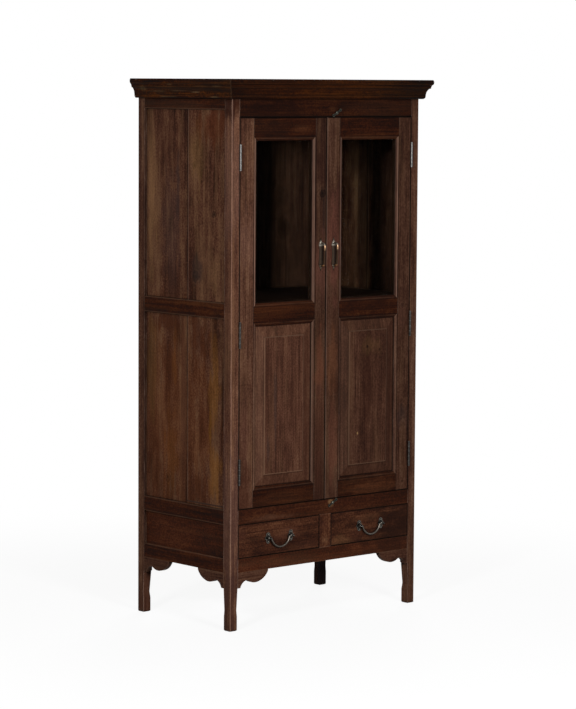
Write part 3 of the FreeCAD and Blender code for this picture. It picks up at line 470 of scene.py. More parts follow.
def stained_teak(name, wood, axis, shift, tone, plinth=None, **features):
    """Stained teak for one node. Where the node also has a plinth board, that board is
    lying timber."""
    material, tree, output = new_material(name)
    surface = wood_surface(tree, wood, axis, shift, tone, **features)
    if plinth:
        low_axis, low_tone = plinth
        low = wood_surface(tree, LOW, low_axis, shift + 0.7, low_tone)
        place = add_node(tree, "ShaderNodeTexCoord", output="Object")
        height = add_node(tree, "ShaderNodeSeparateXYZ", {0: place}, "Z")
        above = add_node(tree, "ShaderNodeMath", {0: height, 1: PLINTH_TOP},
                         operation="GREATER_THAN")
        surface = add_node(tree, "ShaderNodeMixShader", {0: above, 1: low, 2: surface})
    tree.links.new(surface, output.inputs["Surface"])
    return material


def give(node, material):
    """Puts a finish on a CAD node."""
    for slot in nodes[node].material_slots:
        slot.material = material


# Which wood each node is, the way its grain runs and how bright it is. The front top rail is
# dark partly from painted shade under the cornice
WOODEN = {
    "front_left_post": (UPRIGHT, "z", 1.08), "front_right_post": (UPRIGHT, "z", 0.76),
    "back_left_post": (UPRIGHT, "z", 0.8), "back_right_post": (UPRIGHT, "z", 0.8),
    "drawer_divider": (DRAWERS, "z", 1.08),
    "left_door_hinge_stile": (UPRIGHT, "z", 0.82),
    "left_door_meeting_stile": (UPRIGHT, "z", 0.46),
    "right_door_hinge_stile": (UPRIGHT, "z", 0.56),
    "right_door_meeting_stile": (UPRIGHT, "z", 0.54),
    "front_top_rail": (LYING, "x", 0.35), "drawer_rail": (LOW, "x", 0.65),
    "front_bottom_rail": (LOW, "x", 0.94),
    "left_side_rails": (LYING, "y", 0.55), "right_side_rails": (LYING, "y", 0.7),
    "left_door_rails": (LYING, "x", 0.43), "right_door_rails": (LYING, "x", 0.44),
    "front_brackets": (PANELS, "x", 0.66), "left_brackets": (PANELS, "y", 0.65),
    "right_brackets": (PANELS, "y", 0.65),
    "left_drawer_front": (DRAWERS, "x", 1.06), "right_drawer_front": (DRAWERS, "x", 0.96),
    "front_cornice": (MOULDING, "x", 0.24), "left_cornice": (MOULDING, "y", 0.46),
    "right_cornice": (MOULDING, "y", 0.65), "top_board": (MOULDING, "x", 0.75),
    "left_side_boards": (BOARDS, "z", 0.81), "right_side_boards": (BOARDS, "z", 0.95),
    "left_door_panel": (PANELS, "z", 0.84), "right_door_panel": (PANELS, "z", 0.62),
    "back_rails": (INSIDE, "x", 1.0), "back_boards": (INSIDE, "z", 1.0),
    "cupboard_floor": (INSIDE, "x", 1.0), "shelf": (INSIDE, "x", 0.3),
    "shelf_bearers": (INSIDE, "y", 1.0), "drawer_runners": (INSIDE, "y", 1.0),
    "drawer_guides": (INSIDE, "y", 1.0), "drawer_kickers": (INSIDE, "y", 1.0),
    "top_door_stop": (INSIDE, "x", 1.0), "left_drawer_box": (INSIDE, "y", 1.0),
    "right_drawer_box": (INSIDE, "y", 1.0), "left_door_glass_beads": (INSIDE, "z", 0.5),
    "right_door_glass_beads": (INSIDE, "z", 0.5),
}

# The tints of marks: wood laid bare, wood gone olive, an orange tone where oil has soaked in,
# stain that has stayed thick, the darkest tint, for deep stain and for painted shade, and grey
# rubbing
BARE, OLIVE, OILED = "7C5A3E", "6A4C30", "704424"
THICK, DEEP_STAIN_AND_SHADE, GREY = "40241A", "26140D", "3A2C28"

# Marks on single boards, most of them of age and some of them painted shade: the place and the
# reach of each in millimetres, in the plane of its face, its tint, and how strongly it shows
MARKS = {
    "left_side_boards": (
        (205, 1467, 30, 262, BARE, 0.8), (126, 1694, 47, 100, THICK, 0.5),
        (62, 1507, 11, 129, GREY, 0.5), (-47, 1638, 42, 113, OLIVE, 0.6),
        (-146, 1772, 45, 29, THICK, 0.6), (-52, 1239, 35, 54, GREY, 0.6),
        (-141, 1234, 30, 79, BARE, 0.5), (-94, 1404, 15, 123, THICK, 0.4),
        (209, 893, 32, 178, OLIVE, 0.7), (121, 1051, 60, 35, THICK, 0.8),
        (116, 911, 24, 81, THICK, 0.5), (95, 584, 40, 152, OILED, 0.7),
        (168, 592, 20, 143, THICK, 0.5), (80, 919, 14, 101, OILED, 0.6),
        (31, 757, 24, 302, "50382E", 0.6), (-45, 1008, 39, 85, THICK, 0.7),
        (-47, 478, 43, 50, THICK, 0.7), (-142, 822, 31, 164, "80562E", 0.75),
        (-148, 549, 38, 115, "80562E", 0.75), (60, 700, 260, 420, "6E3C1C", 0.3),
        (95, 1380, 55, 210, "4C3630", 0.45), (-120, 1740, 90, 70, "5C2E18", 0.5),
        (-188, 841, 6, 138, DEEP_STAIN_AND_SHADE, 0.7), (-120, 716, 9, 50, "7A4E20", 0.6)),
    "left_side_rails": (
        # The marks in the darkest tint are painted shade at the rails' ends beside the front
        # post
        (-153, 1816, 38, 17, DEEP_STAIN_AND_SHADE, 0.3), (60, 1812, 150, 20, "5A3826", 0.4),
        (230, 1812, 48, 17, "3E2C20", 0.4), (-160, 1100, 38, 20, DEEP_STAIN_AND_SHADE, 0.5),
        (-164, 412, 46, 25, DEEP_STAIN_AND_SHADE, 0.4)),
    "left_door_rails": (
        (-265, 1738, 120, 34, DEEP_STAIN_AND_SHADE, 0.62), (-115, 1730, 53, 15, "6B4028", 0.4),
        (-242, 1108, 130, 30, "6E3C20", 0.35), (-204, 440, 150, 30, "7A4A30", 0.2)),
    "right_door_rails": (
        (210, 1108, 160, 40, "30160C", 0.65), (220, 440, 150, 40, "7A4A30", 0.45)),
    "left_door_meeting_stile": (
        (-25, 1600, 40, 70, "3A2018", 0.45), (-24, 1505, 16, 30, "1C100C", 0.6),
        (-15, 1428, 8, 60, GREY, 0.4), (-30, 1250, 30, 110, "9A6454", 0.3),
        (-30, 1800, 120, 50, "3A1C12", 0.3), (-30, 450, 60, 150, THICK, 0.55),
        (-33, 901, 22, 110, "8A563E", 0.5), (-33, 815, 14, 20, GREY, 0.4),
        (-24, 622, 17, 168, THICK, 0.3), (-30, 720, 30, 260, "8A5642", 0.2)),
    "right_door_meeting_stile": (
        (30, 1310, 34, 170, "9A6050", 0.35), (30, 450, 60, 110, THICK, 0.45),
        (28, 907, 24, 125, "84543A", 0.5), (42, 830, 21, 31, THICK, 0.4),
        (17, 700, 20, 61, THICK, 0.35), (34, 600, 30, 150, "8A5844", 0.5)),
    "left_door_hinge_stile": (
        (-372, 700, 26, 149, "55342A", 0.4), (-371, 932, 29, 2, THICK, 0.7),
        (-370, 853, 29, 2, THICK, 0.6), (-372, 1790, 120, 45, "34190F", 0.4),
        (-372, 1340, 60, 120, "8C6656", 0.2), (-372, 400, 120, 170, "45261A", 0.6)),
    "left_door_panel": (
        (-146, 758, 33, 126, THICK, 0.3), (-239, 764, 8, 130, GREY, 0.5),
        (-93, 779, 15, 212, THICK, 0.5), (-271, 617, 8, 50, GREY, 0.5)),
    "right_door_panel": (
        (202, 820, 24, 170, THICK, 0.6), (221, 957, 42, 31, OLIVE, 0.35),
        (197, 953, 4, 4, DEEP_STAIN_AND_SHADE, 0.9), (256, 940, 4, 4, DEEP_STAIN_AND_SHADE, 0.7),
        (152, 645, 4, 6, "B58F5E", 0.7), (311, 771, 13, 249, THICK, 0.4)),
    "right_door_hinge_stile": (
        (372, 1790, 120, 45, "34190F", 0.2), (372, 400, 120, 130, "5A3626", 0.3),
        (369, 689, 29, 47, "4A3630", 0.5), (368, 1052, 21, 52, "6A4638", 0.4)),
    "front_top_rail": (
        # The broad dark mark on the left half is painted shade under the cornice
        (22, 1796, 20, 9, "7A4A30", 0.35), (73, 1799, 41, 20, DEEP_STAIN_AND_SHADE, 0.5),
        (-250, 1802, 170, 50, "2A120A", 0.6), (250, 1802, 150, 40, "5A3624", 0.3)),
    "drawer_rail": ((26, 409, 14, 19, "9A7450", 0.45), (-268, 381, 140, 11, "5E4030", 0.4)),
    "left_drawer_front": (
        (-386, 330, 23, 24, THICK, 0.5), (-175, 319, 56, 18, "603C2C", 0.3),
        (-80, 266, 57, 18, THICK, 0.4), (-212, 368, 4, 3, DEEP_STAIN_AND_SHADE, 0.9)),
    "right_drawer_front": (
        (73, 264, 58, 20, "6A4830", 0.4), (370, 300, 150, 110, DEEP_STAIN_AND_SHADE, 0.85),
        (208, 337, 59, 15, "553624", 0.4), (150, 278, 39, 22, THICK, 0.4)),
    "drawer_divider": ((0, 276, 21, 22, "6E4E38", 0.35), (0, 329, 21, 22, THICK, 0.4)),
    "front_bottom_rail": ((-174, 219, 238, 21, "67432E", 0.2), (330, 227, 160, 60, DEEP_STAIN_AND_SHADE, 0.6)),
    "front_left_post": (
        # The mark at the top darkens the post just under the cornice
        (-430, 90, 60, 190, "38221A", 0.7), (-420, 1816, 300, 60, "2A140C", 1.0),
        (-420, 1560, 60, 200, "8E6A5C", 0.15), (-430, 400, 60, 330, "48302A", 0.6)),
    "front_right_post": ((422, 1830, 120, 50, "3A2016", 0.5),),
    "back_left_post": ((-430, 60, 60, 130, THICK, 0.55),),
    "front_brackets": ((359, 161, 50, 15, DEEP_STAIN_AND_SHADE, 0.5),),
    "front_cornice": ((-60, 1866, 420, 50, "6A3414", 0.35), (330, 1866, 120, 40, DEEP_STAIN_AND_SHADE, 0.4)),
    "left_cornice": (
        (60, 1881, 20, 2.5, "98805E", 0.5), (-65, 1854, 26, 2.5, "8A7054", 0.5),
        (-154, 1838, 30, 2.5, "98805E", 0.5), (150, 1856, 60, 5, "6A5038", 0.5),
        (110, 1838, 60, 3, "7A6044", 0.6), (20, 1858, 50, 2.5, "7A6048", 0.5),
        (-190, 1874, 26, 4, "7A6044", 0.5), (215, 1866, 24, 12, "70583C", 0.6),
        (-100, 1874, 50, 3, "6A4C30", 0.5), (100, 1872, 60, 3, "6A4C30", 0.5)),
    "back_boards": ((229, 1354, 22, 34, DEEP_STAIN_AND_SHADE, 0.5), (236, 1290, 10, 70, DEEP_STAIN_AND_SHADE, 0.4),
                    (180, 1500, 60, 160, "382318", 0.4)),
}

# Knots: the place and the reach of each in millimetres, and how strongly it shows
KNOTS = {
    "left_drawer_front": ((-382, 340, 16, 14, 0.5),),
    "right_drawer_front": ((130, 313, 30, 12, 0.35), (267, 318, 26, 8, 0.3)),
    "left_door_meeting_stile": ((-17, 1087, 10, 10, 0.7), (-24, 1505, 17, 16, 1.0)),
    "right_door_meeting_stile": ((28, 1500, 14, 16, 0.45),),
    "right_door_hinge_stile": ((367, 1093, 12, 10, 0.8), (375, 453, 6, 6, 0.8),
                               (370, 700, 18, 30, 0.5)),
    "left_door_hinge_stile": ((-342, 1224, 8, 9, 0.6),),
    "left_door_panel": ((-236, 1045, 20, 12, 0.25),),
    "right_door_panel": ((196, 958, 5, 5, 0.8),),
    "left_side_boards": ((-30, 1603, 13, 14, 1.0), (-139, 1436, 13, 12, 0.9),
                         (-42, 1217, 18, 20, 1.0), (115, 501, 15, 15, 0.9),
                         (116, 880, 9, 22, 0.5), (-170, 1030, 16, 24, 0.4)),
    "back_boards": ((229, 1354, 30, 44, 0.6),),
}


# Lines along gaps, joints, mouldings and arrises

# Their tints: a deep gap, a shaded quirk, a rubbed hump, and dust on an arris
GAP, QUIRK, HUMP, DUST = "0A0503", "1D0F0A", "80604C", "A4806E"

# A level past the cabinet on every side, for the edges of a rectangle that aren't seen
FAR = 3.0

# The fields of boards on the sides, from the plinth up, and the seam in the upper two,
# which has dust on one side and shade on the other
BOARD_FIELDS = ((0.251, 0.369), (0.421, 1.081), (1.135, 1.796))
BOARD_RUN = (-0.1995, 0.2385)
BOARD_SEAM, SEAM_DUST, SEAM_SHADE = 0.0045, 0.003, 0.009
SEAM_ENDS = (0.43, 1.93)
DUST_EDGE = 0.0015

# How far out the front rails meet the posts, and where the posts' arris lies
POST_JOINT = 0.404
POST_ARRIS = 0.4372

# Half the gap round a door or drawer, and how far in from its edge a stile's arris lies
HALF_GAP = 0.0006
STILE_ARRIS = 0.003

# Lines along the cornice: the level of each, its half width in millimetres, its tint and
# its strength
CORNICE_LINES = (
    (1.8845, 1.4, OILED, 0.4), (1.8815, 1.5, GAP, 0.5), (1.8725, 1.3, OILED, 0.35),
    (1.8695, 1.6, GAP, 0.5), (1.8455, 2.0, GAP, 0.6), (1.8415, 1.2, OILED, 0.4),
    (1.833, 1.4, GAP, 0.6))

# How far a panel or pane reaches into its groove, the width of the moulded edge beyond
# that and how far from its end the hump is, the width of the panel's sloping border, and
# the width of the quirk round its field
HIDDEN_EDGE = 0.007
GROOVED_EDGE = 0.013 - HIDDEN_EDGE
EDGE_HUMP = GROOVED_EDGE - 0.005
PANEL_BORDER = 0.040
FIELD_QUIRK = 0.0045

# The strip of painted shadow that a pull's bow casts on its stile: its left and right edge from
# the plate's middle, and how far down and up it reaches
BOW_SHADOW_EDGES = (0.0105, 0.0155)
BOW_SHADOW_DEPTH, BOW_SHADOW_HEIGHT = 0.040, 0.034


def face(low, high, grow=0.0):
    """The lower and upper corner of a front rectangle, in x and z, grown all round."""
    return (low[0] - grow, low[2] - grow), (high[0] + grow, high[2] + grow)


def draw(lines, names, *line):
    """Adds a line to those of some nodes: its plane, its rectangle's corners in metres, its
    half width in millimetres, its tint and its strength."""
    for name in names:
        lines.setdefault(name, []).append(line)


def door_lines(lines, hand):
    """The dark gap round a door, the joints of its rails, the quirk and the hump of each
    moulded edge, and the rubbed edge of its panel's field."""
    rails = [f"{hand}_door_rails"]
    stiles = [f"{hand}_door_hinge_stile", f"{hand}_door_meeting_stile"]
    boxes = [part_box(name) for name in rails + stiles]
    low = [min(corners[0][i] for corners in boxes) for i in range(3)]
    high = [max(corners[1][i] for corners in boxes) for i in range(3)]
    around = ["front_left_post", "front_right_post", "front_top_rail", "drawer_rail"]
    draw(lines, [*rails, *stiles, *around], "xz", face(low, high, HALF_GAP), 2.6, GAP, 0.95)
    top = ((-POST_JOINT, -FAR), (POST_JOINT, high[2] + 0.001))
    draw(lines, [*rails, *stiles, "front_top_rail"], "xz", top, 3.2, GAP, 0.85)
    low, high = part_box(f"{hand}_door_panel")
    joints = ((low[0] - GROOVED_EDGE, -FAR), (high[0] + GROOVED_EDGE, FAR))
    draw(lines, rails + stiles, "xz", joints, 1.2, QUIRK, 0.7)
    for part, dusty in (("panel", 0.25), ("glass", 0.7)):
        low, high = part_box(f"{hand}_door_{part}")
        draw(lines, rails + stiles, "xz", face(low, high, GROOVED_EDGE), 1.3, QUIRK, 0.7)
        draw(lines, stiles, "xz", face(low, high, EDGE_HUMP), 1.8, DUST, dusty)
        draw(lines, rails, "xz", face(low, high, EDGE_HUMP), 1.6, HUMP, 0.3)
        draw(lines, rails + stiles, "xz", face(low, high, -HIDDEN_EDGE), 1.3, QUIRK, 0.8)
    low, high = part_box(stiles[1])
    arris = ((low.x + STILE_ARRIS, -FAR), (FAR, FAR))
    draw(lines, stiles[1:], "xz", arris, 1.8, DUST, 0.45)
    low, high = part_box(f"{hand}_door_panel")
    panel = [f"{hand}_door_panel"]
    field_low, field_high = face(low, high, -HIDDEN_EDGE - PANEL_BORDER)
    quirk = ((field_low[0] - FIELD_QUIRK, field_low[1] - FIELD_QUIRK), field_high)
    draw(lines, panel, "xz", face(low, high, -HIDDEN_EDGE), 2.0, QUIRK, 0.8)
    draw(lines, panel, "xz", (field_low, field_high), 1.6, HUMP, 0.65)
    draw(lines, panel, "xz", quirk, 1.4, QUIRK, 0.5)


def pull_lines(lines, hand):
    """The painted shadow that a pull's bow casts on its meeting stile, beside the plate."""
    low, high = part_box(f"{hand}_door_pull")
    x, z = (low.x + high.x) / 2, (low.z + high.z) / 2
    left, right = BOW_SHADOW_EDGES
    painted_shade = ((x + left, z - BOW_SHADOW_DEPTH), (x + right, z + BOW_SHADOW_HEIGHT))
    # Painted shadow of the bow, drawn in the gap's tint
    draw(lines, [f"{hand}_door_meeting_stile"], "xz", painted_shade, 2.5, GAP, 0.95)


def drawer_lines(lines, hand):
    """The dark gap round a drawer front."""
    low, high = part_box(f"{hand}_drawer_front")
    around = [f"front_{hand}_post", "drawer_rail", "front_bottom_rail", "drawer_divider",
              f"{hand}_drawer_front"]
    draw(lines, around, "xz", face(low, high, HALF_GAP), 2.2, GAP, 0.95)


def side_lines(lines, hand):
    """The joints of a side's rails with its posts, the edge of each field of boards with
    dust along it, and the seam between the upper and lower pairs of boards."""
    boards, rails = f"{hand}_side_boards", f"{hand}_side_rails"
    posts = [f"front_{hand}_post", f"back_{hand}_post"]
    joints = ((BOARD_RUN[0], -FAR), (BOARD_RUN[1], FAR))
    draw(lines, [rails, *posts], "yz", joints, 1.2, QUIRK, 0.7)
    for low, high in BOARD_FIELDS:
        field = ((BOARD_RUN[0], low), (BOARD_RUN[1], high))
        draw(lines, [boards], "yz", field, 2.0, GAP, 0.8)
        dust = ((-FAR, low - DUST_EDGE), (FAR, high + DUST_EDGE))
        draw(lines, [rails], "yz", dust, 1.6, HUMP, 0.45)
    # The right seam also shows on the dark inside, which no dust reaches
    dusty = 0.5 if hand == "left" else 0.15
    for place, half_width, tint, strength in (
            (SEAM_DUST, 2.4, DUST, dusty), (SEAM_SHADE, 2.6, GAP, 0.85)):
        seam = ((-FAR, SEAM_ENDS[0]), (place, SEAM_ENDS[1]))
        draw(lines, [boards], "yz", seam, half_width, tint, strength)


def carcass_lines(lines):
    """The joints of the long front rails with the posts, the dark and the oiled lines of the
    cornice, and the posts' dusty arrises."""
    joints = ((-POST_JOINT, -FAR), (POST_JOINT, FAR))
    draw(lines, ["front_top_rail", "drawer_rail", "front_bottom_rail", "front_left_post",
                 "front_right_post"], "xz", joints, 1.2, QUIRK, 0.5)
    for node, plane in (("front_cornice", "xz"), ("left_cornice", "yz"),
                        ("right_cornice", "yz")):
        for level, half_width, tint, strength in CORNICE_LINES:
            draw(lines, [node], plane, ((-FAR, -FAR), (FAR, level)), half_width, tint,
                 strength)
    arris = ((-POST_ARRIS, -FAR), (POST_ARRIS, FAR))
    draw(lines, ["front_left_post", "front_right_post"], "xz", arris, 1.1, DUST, 0.45)


# The seams between a node's boards: axis and level of each
SIDE_SEAMS = (("y", BOARD_SEAM), ("z", 1.1))
SEAMS = {
    "left_side_boards": SIDE_SEAMS, "right_side_boards": SIDE_SEAMS,
    "back_boards": (("x", -0.202), ("x", 0.0), ("x", 0.202), ("z", 1.1)),
}

# Below this level a node is a plinth board: the way its grain runs and its tone
PLINTH_TOP = 0.38
PLINTHS = {"left_side_boards": ("y", 0.92), "right_side_boards": ("y", 0.98),
           "back_boards": ("x", 0.8)}

# Faces inside the cabinet are darker, partly from their stain and partly as painted shade: how
# far out they reach, how dark they are, and the place, reach and darkness of more painted shade
# on them, which makes the back right post and leg nearly black
INSIDE_STAIN_AND_SHADE = {
    "left_side_boards": (0.4285, 0.35, ()),
    "right_side_boards": (0.4285, 0.28, (
        ((32, 1450), (36, 520), 0.62), ((-95, 1450), (50, 520), 0.6))),
    "back_right_post": (0.4385, 0.0, (((238.5, 1100), (22, 3000), 1.0),)),
}

# Painted light and shade on the panels' sloping borders, lighter on the left and top, darker on
# the right and bottom: axis and steepness at which a tint starts and is full
BORDER_LIGHT_AND_SHADE = (("x", -0.05, -0.15, "6E5444", 0.15), ("x", 0.05, 0.15, "44271B", 0.35),
           ("z", 0.05, 0.15, "70503C", 0.12), ("z", -0.05, -0.15, "4E3022", 0.3))
# Painted highlight, a pinkish grey, on the moulded edges that face the light
MOULDED_HIGHLIGHT = (("x", -0.2, -0.7, "B08474", 0.22),)
# The nodes that get painted light and shade on their slopes
LIT_SLOPES = {"left_door_panel": BORDER_LIGHT_AND_SHADE, "right_door_panel": BORDER_LIGHT_AND_SHADE,
          "left_door_meeting_stile": MOULDED_HIGHLIGHT, "right_door_hinge_stile": MOULDED_HIGHLIGHT}

# Nodes whose marks lie on a side face
SIDE_FACES = ("left_side_boards", "right_side_boards", "left_side_rails", "left_cornice",
              "back_right_post")


# How far apart the stretches of grain are that two nodes get
GRAIN_STEP = 0.37


def finish_wood():
    """A finish of its own for every wooden node, so that no two share a streak."""
    lines = {}
    for hand in ("left", "right"):
        door_lines(lines, hand)
        pull_lines(lines, hand)
        drawer_lines(lines, hand)
        side_lines(lines, hand)
    carcass_lines(lines)
    for order, (node, (wood, axis, tone)) in enumerate(WOODEN.items()):
        marks = [((u, z), (across, along), tint, strength)
                 for u, z, across, along, tint, strength in MARKS.get(node, ())]
        knots = [((u, z), (across, along), strength)
                 for u, z, across, along, strength in KNOTS.get(node, ())]
        plane = "yz" if node in SIDE_FACES else "xz"
        give(node, stained_teak(
            f"stained teak {node}", wood, axis, GRAIN_STEP * (order + 1), tone,
            PLINTHS.get(node), plane=plane, seams=SEAMS.get(node, ()), knots=knots,
            marks=marks, lines=lines.get(node, ()), slopes=LIT_SLOPES.get(node, ()),
            lining=INSIDE_STAIN_AND_SHADE.get(node)))


# Glass and metal


def old_glass():
    """Thin window glass: clear, and nearly without a reflection in even light."""
    material, tree, output = new_material("thin window glass")
    clear = add_node(tree, "ShaderNodeBsdfTransparent", {"Color": linear("F2F5F2")})
    gloss = add_node(tree, "ShaderNodeBsdfGlossy", {"Roughness": 0.02})
    mirror = add_node(tree, "ShaderNodeFresnel", {"IOR": 1.04})
    mixed = add_node(tree, "ShaderNodeMixShader", {0: mirror, 1: clear, 2: gloss})
    tree.links.new(mixed, output.inputs["Surface"])
    return material


# How far in metres a metal's edges are rubbed bright, partly as painted highlight, and painted
# shade reaches out of its corners
METAL_EDGE = 0.0025
METAL_CORNER_SHADE = 0.004


def worn_metal_with_painted_light(name, dark, rubbed, grit, roughness, zones=()):
    """Metal with a skin of tarnish that is rubbed bright on its edges in patches of the grit's
    size in millimetres, partly wear and partly painted highlight, and with painted shade in its
    corners and on its undersides. A zone takes a tint of its own beyond its limits, each of
    which is an axis with the levels where the zone starts and where it is full."""
    material, tree, output = new_material(name)
    place = add_node(tree, "ShaderNodeTexCoord", output="Object")
    mottle = add_node(tree, "ShaderNodeTexNoise", {
        "Vector": place, "Scale": 1000 / grit, "Detail": 4.0, "Roughness": 0.65}, "Fac")
    # Edges rubbed bright, partly wear and partly painted highlight
    edge = add_node(tree, "ShaderNodeAmbientOcclusion", {"Distance": METAL_EDGE}, "AO",
                    samples=6, inside=True, only_local=True)
    worn = add_node(tree, "ShaderNodeMath", {0: mottle, 1: edge}, operation="SUBTRACT")
    share = add_node(tree, "ShaderNodeMapRange", {
        "Value": worn, "From Min": -0.4, "From Max": 0.25})
    coats = [(share, linear(rubbed))]
    for limits, tint, strength in zones:
        within = add_node(tree, "ShaderNodeMapRange", {
            "Value": mottle, "From Min": 0.35, "From Max": 0.6, "To Min": 0.45 * strength,
            "To Max": strength})
        for axis, start, end in limits:
            level = add_node(tree, "ShaderNodeSeparateXYZ", {0: place}, axis.upper())
            beyond = add_node(tree, "ShaderNodeMapRange", {
                "Value": level, "From Min": start, "From Max": end})
            within = add_node(tree, "ShaderNodeMath", {0: within, 1: beyond},
                              operation="MULTIPLY")
        coats.append((within, linear(tint)))
    # Painted shade: undersides and corners are made darker
    normal = add_node(tree, "ShaderNodeTexCoord", output="Normal")
    down = add_node(tree, "ShaderNodeSeparateXYZ", {0: normal}, "Z")
    corner = add_node(tree, "ShaderNodeAmbientOcclusion", {"Distance": METAL_CORNER_SHADE}, "AO",
                      samples=6)
    coats.append((add_node(tree, "ShaderNodeMapRange", {
        "Value": down, "From Min": 0.2, "From Max": -0.6, "To Max": 0.75}), linear("0C0A08")))
    coats.append((add_node(tree, "ShaderNodeMapRange", {
        "Value": corner, "From Min": 0.3, "From Max": 0.8, "To Min": 0.8, "To Max": 0.0}),
        linear("0C0A08")))
    rough = add_node(tree, "ShaderNodeMapRange", {
        "Value": share, "To Min": roughness + 0.15, "To Max": roughness - 0.1})
    bump = add_node(tree, "ShaderNodeBump", {
        "Strength": 0.3, "Distance": 0.0004, "Height": mottle}, "Normal")
    surface = add_node(tree, "ShaderNodeBsdfPrincipled", {
        "Base Color": under_coats(tree, linear(dark), coats), "Roughness": rough,
        "Normal": bump, "Metallic": 1.0})
    tree.links.new(surface, output.inputs["Surface"])
    return material


def brass_of(pull):
    """Brass with painted golden highlights on its bow's upper and lower bends, painted silvery
    highlights round the bow's feet, and the bow's painted shadow along one edge of its plate."""
    low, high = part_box(pull)
    x, z = (low.x + high.x) / 2, (low.z + high.z) / 2
    bow = POST_FRONT - PULL_PLATE
    plate_zones = (
        # Painted highlight, silvery, round the bow's upper foot
        ([("z", z + 0.028, z + 0.034)], "D0C8B8", 0.8),
        ([("z", z + 0.046, z + 0.050)], "2E281E", 0.95),
        # Painted highlight round the bow's lower foot
        ([("z", z - 0.036, z - 0.042)], "8E8472", 0.8),
        ([("z", z - 0.046, z - 0.050)], "2E281E", 0.95),
        # Painted shadow of the bow along the plate's right edge
        ([("x", x + 0.001, x + 0.004)], "0E0A07", 0.95))
    bow_zones = (
        ([("y", bow - 0.003, bow - 0.010)], "38271B", 0.95),
        # Painted highlight, golden, on the bow's upper bend
        ([("y", bow - 0.012, bow - 0.018), ("z", z + 0.014, z + 0.024),
          ("z", z + 0.036, z + 0.030)], "D0A47C", 0.65),
        # Painted highlight, golden, on the bow's lower bend
        ([("y", bow - 0.006, bow - 0.012), ("z", z - 0.034, z - 0.038)], "D89C68", 0.8))
    return worn_metal_with_painted_light(f"aged brass {pull}", "2C241E", "5C4A3C", 7, 0.3,
                      plate_zones + bow_zones)


# A level between the upper hinges and the middle ones
UPPER_HINGES = 1.4


def steel_of(pins):
    """Dull steel, brighter on the upper hinges, with painted shade on the right half of each
    knuckle.
    """
    low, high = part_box(pins)
    x = (low.x + high.x) / 2
    return worn_metal_with_painted_light(f"dulled steel {pins}", "1C1A19", "5C5955", 9, 0.45, (
        ([("z", UPPER_HINGES - 0.01, UPPER_HINGES + 0.01)], "767472", 0.95),
        # Painted shade on the knuckle's right half
        ([("x", x - 0.0015, x)], "14110F", 0.9)))


def finish_fittings():
    """Panes, hinges, pulls, handles and turn buttons. Forged iron is black, with painted shade
    on its undersides and in its corners, and a dull silver on its edges that is partly rubbed
    and partly painted highlight. Cast iron is greyer and has a coarser skin."""
    glass = old_glass()
    iron = worn_metal_with_painted_light("wrought iron", "1A1816", "8C877E", 6, 0.32)
    handled = worn_metal_with_painted_light("wrought iron rubbed by hands", "4C4640", "C4BCB0", 6, 0.22)
    button = worn_metal_with_painted_light("grey cast iron", "1E1E1A", "64645A", 5, 0.45)
    for hand in ("left", "right"):
        give(f"{hand}_door_glass", glass)
        steel = steel_of(f"{hand}_hinge_pins")
        for part in ("hinge_frame_leaves", "hinge_pins", "hinge_door_leaves"):
            give(f"{hand}_{part}", steel)
        brass = brass_of(f"{hand}_door_pull")
        give(f"{hand}_door_pull", brass)
        give(f"{hand}_drawer_handle_plates", iron)
        give(f"{hand}_drawer_bail", handled)
        drive_hinge_screws(hand, steel)
        drive_plate_nails(hand, brass, iron)
    for part in ("top_turn_button", "bottom_turn_button", "turn_button_screws"):
        give(part, button)


# Screws and nails

# The hinges' length, the middle one's level, and the gap between the leaves of one
HINGE_LENGTH = 0.089
MIDDLE_HINGE_LEVEL = 1.026
LEAF_GAP = 0.0003

# Where a leaf's screws are, from its middle and from the front, and their size: radius,
# height above the leaf and width of the slot
SCREW_PLACES = ((-0.031, 0.009), (0, 0.016), (0.031, 0.009))
SCREW_SIZE = (0.0036, 0.0001, 0.0009)

# How far the nails of each plate are from its middle, their radius and height, and how
# wide a handle plate is
PULL_NAIL_STEP = 0.0455
PULL_NAIL_SIZE = (0.0019, 0.0012)
HANDLE_NAIL_STEP = 0.0125
HANDLE_NAIL_SIZE = (0.0021, 0.0014)
HANDLE_PLATE_WIDTH = 0.026

# How deep a head's rounded rim and its slot are, as shares of its height
RIM_SHARE = 0.75
SLOT_SHARE = 0.6


def select_faces(mesh, wanted):
    """Selects the faces whose middle and normal pass a test, and nothing else."""
    bpy.ops.mesh.select_all(action="DESELECT")
    bpy.ops.object.mode_set(mode="OBJECT")
    for polygon in mesh.polygons:
        polygon.select = wanted(polygon.center, polygon.normal)
    bpy.ops.object.mode_set(mode="EDIT")


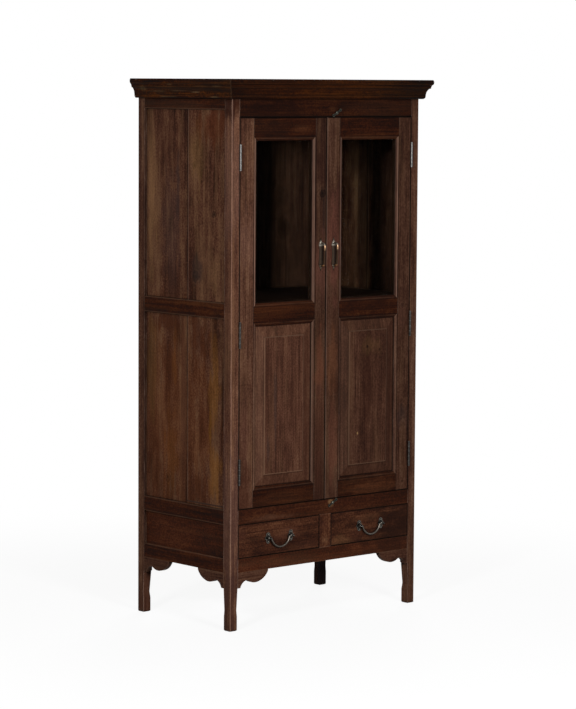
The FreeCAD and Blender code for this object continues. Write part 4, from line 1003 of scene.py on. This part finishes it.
def round_head(name, centre, outward, radius, height, slot=None):
    """A small head on a face: its rim is rounded, and a screw's has a slot sunk in it."""
    outward = Vector(outward)
    turn = outward.to_track_quat("Z", "Y").to_euler()
    bpy.ops.mesh.primitive_cylinder_add(vertices=20, radius=radius, depth=height,
                                        location=Vector(centre) + outward * height / 2,
                                        rotation=turn)
    head = bpy.context.object
    head.name = name
    bpy.ops.object.transform_apply(location=True, rotation=True, scale=True)
    bpy.ops.object.mode_set(mode="EDIT")
    select_faces(head.data, lambda middle, normal: normal.dot(outward) > 0.9)
    bpy.ops.mesh.bevel(offset=height * RIM_SHARE, segments=3, affect="EDGES")
    if slot:
        across = Vector((0, 0, 1)).cross(outward).normalized()
        for side in (-1, 1):
            bpy.ops.mesh.select_all(action="SELECT")
            bpy.ops.mesh.bisect(plane_co=Vector(centre) + across * side * slot / 2,
                                plane_no=across)
        select_faces(head.data, lambda middle, normal: normal.dot(outward) > 0.9
                     and abs((middle - Vector(centre)).dot(across)) < slot / 2)
        bpy.ops.mesh.extrude_region_move(
            TRANSFORM_OT_translate={"value": outward * -SLOT_SHARE * height})
    bpy.ops.object.mode_set(mode="OBJECT")
    bpy.ops.object.select_all(action="DESELECT")
    return head


def repeated(piece, places):
    """The piece and a copy of it, with its own mesh, at each further place, as one."""
    first = Vector(places[0])
    copies = [piece]
    for place in places[1:]:
        copy = piece.copy()
        copy.data = piece.data.copy()
        copy.data.transform(Matrix.Translation(Vector(place) - first))
        bpy.context.scene.collection.objects.link(copy)
        copies.append(copy)
    for copy in copies:
        copy.select_set(True)
    bpy.context.view_layer.objects.active = piece
    bpy.ops.object.join()
    bpy.ops.object.select_all(action="DESELECT")
    return piece


def fasten(name, body, slot_name, material, places, outward, radius, height, slot=None):
    """A set of like heads that rides on a body."""
    piece = repeated(round_head(name, places[0], outward, radius, height, slot), places)
    piece.data.materials.append(material)
    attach(piece, body)


def drive_hinge_screws(hand, steel):
    """Three staggered screws in every hinge leaf of a door, sunk nearly flush with it."""
    low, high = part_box(f"{hand}_hinge_frame_leaves")
    levels = (low.z + HINGE_LENGTH / 2, MIDDLE_HINGE_LEVEL, high.z - HINGE_LENGTH / 2)
    pin_low, pin_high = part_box(f"{hand}_hinge_pins")
    pin_x = (pin_low.x + pin_high.x) / 2
    inward = 1 if hand == "left" else -1
    for leaf, body, facing in (("frame", "carcass", 1), ("door", f"{hand}_door", -1)):
        x = pin_x - facing * inward * LEAF_GAP / 2
        places = [(x, POST_FRONT + depth, level + step)
                  for level in levels for step, depth in SCREW_PLACES]
        fasten(f"{hand}_hinge_{leaf}_screws", body, "hinge_steel", steel, places,
               (facing * inward, 0, 0), *SCREW_SIZE)


def drive_plate_nails(hand, brass, iron):
    """Two nails through a pull plate and two through each handle plate of a drawer."""
    low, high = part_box(f"{hand}_door_pull")
    x, z = (low.x + high.x) / 2, (low.z + high.z) / 2
    places = [(x, POST_FRONT - PULL_PLATE, z + step)
              for step in (-PULL_NAIL_STEP, PULL_NAIL_STEP)]
    fasten(f"{hand}_pull_nails", f"{hand}_door", "pull_brass", brass, places,
           (0, -1, 0), *PULL_NAIL_SIZE)
    low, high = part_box(f"{hand}_drawer_handle_plates")
    z = (low.z + high.z) / 2
    sides = (low.x + HANDLE_PLATE_WIDTH / 2, high.x - HANDLE_PLATE_WIDTH / 2)
    places = [(x, POST_FRONT - HANDLE_PLATE, z + step)
              for x in sides for step in (-HANDLE_NAIL_STEP, HANDLE_NAIL_STEP)]
    fasten(f"{hand}_handle_nails", f"{hand}_drawer", "handle_iron", iron, places,
           (0, -1, 0), *HANDLE_NAIL_SIZE)


place_camera()
place_floor()
light_world(EVEN_LIGHT)
for lamp in LAMPS:
    hang_lamp(*lamp)
finish_wood()
finish_fittings()
bpy.context.scene.view_settings.view_transform = "Standard"
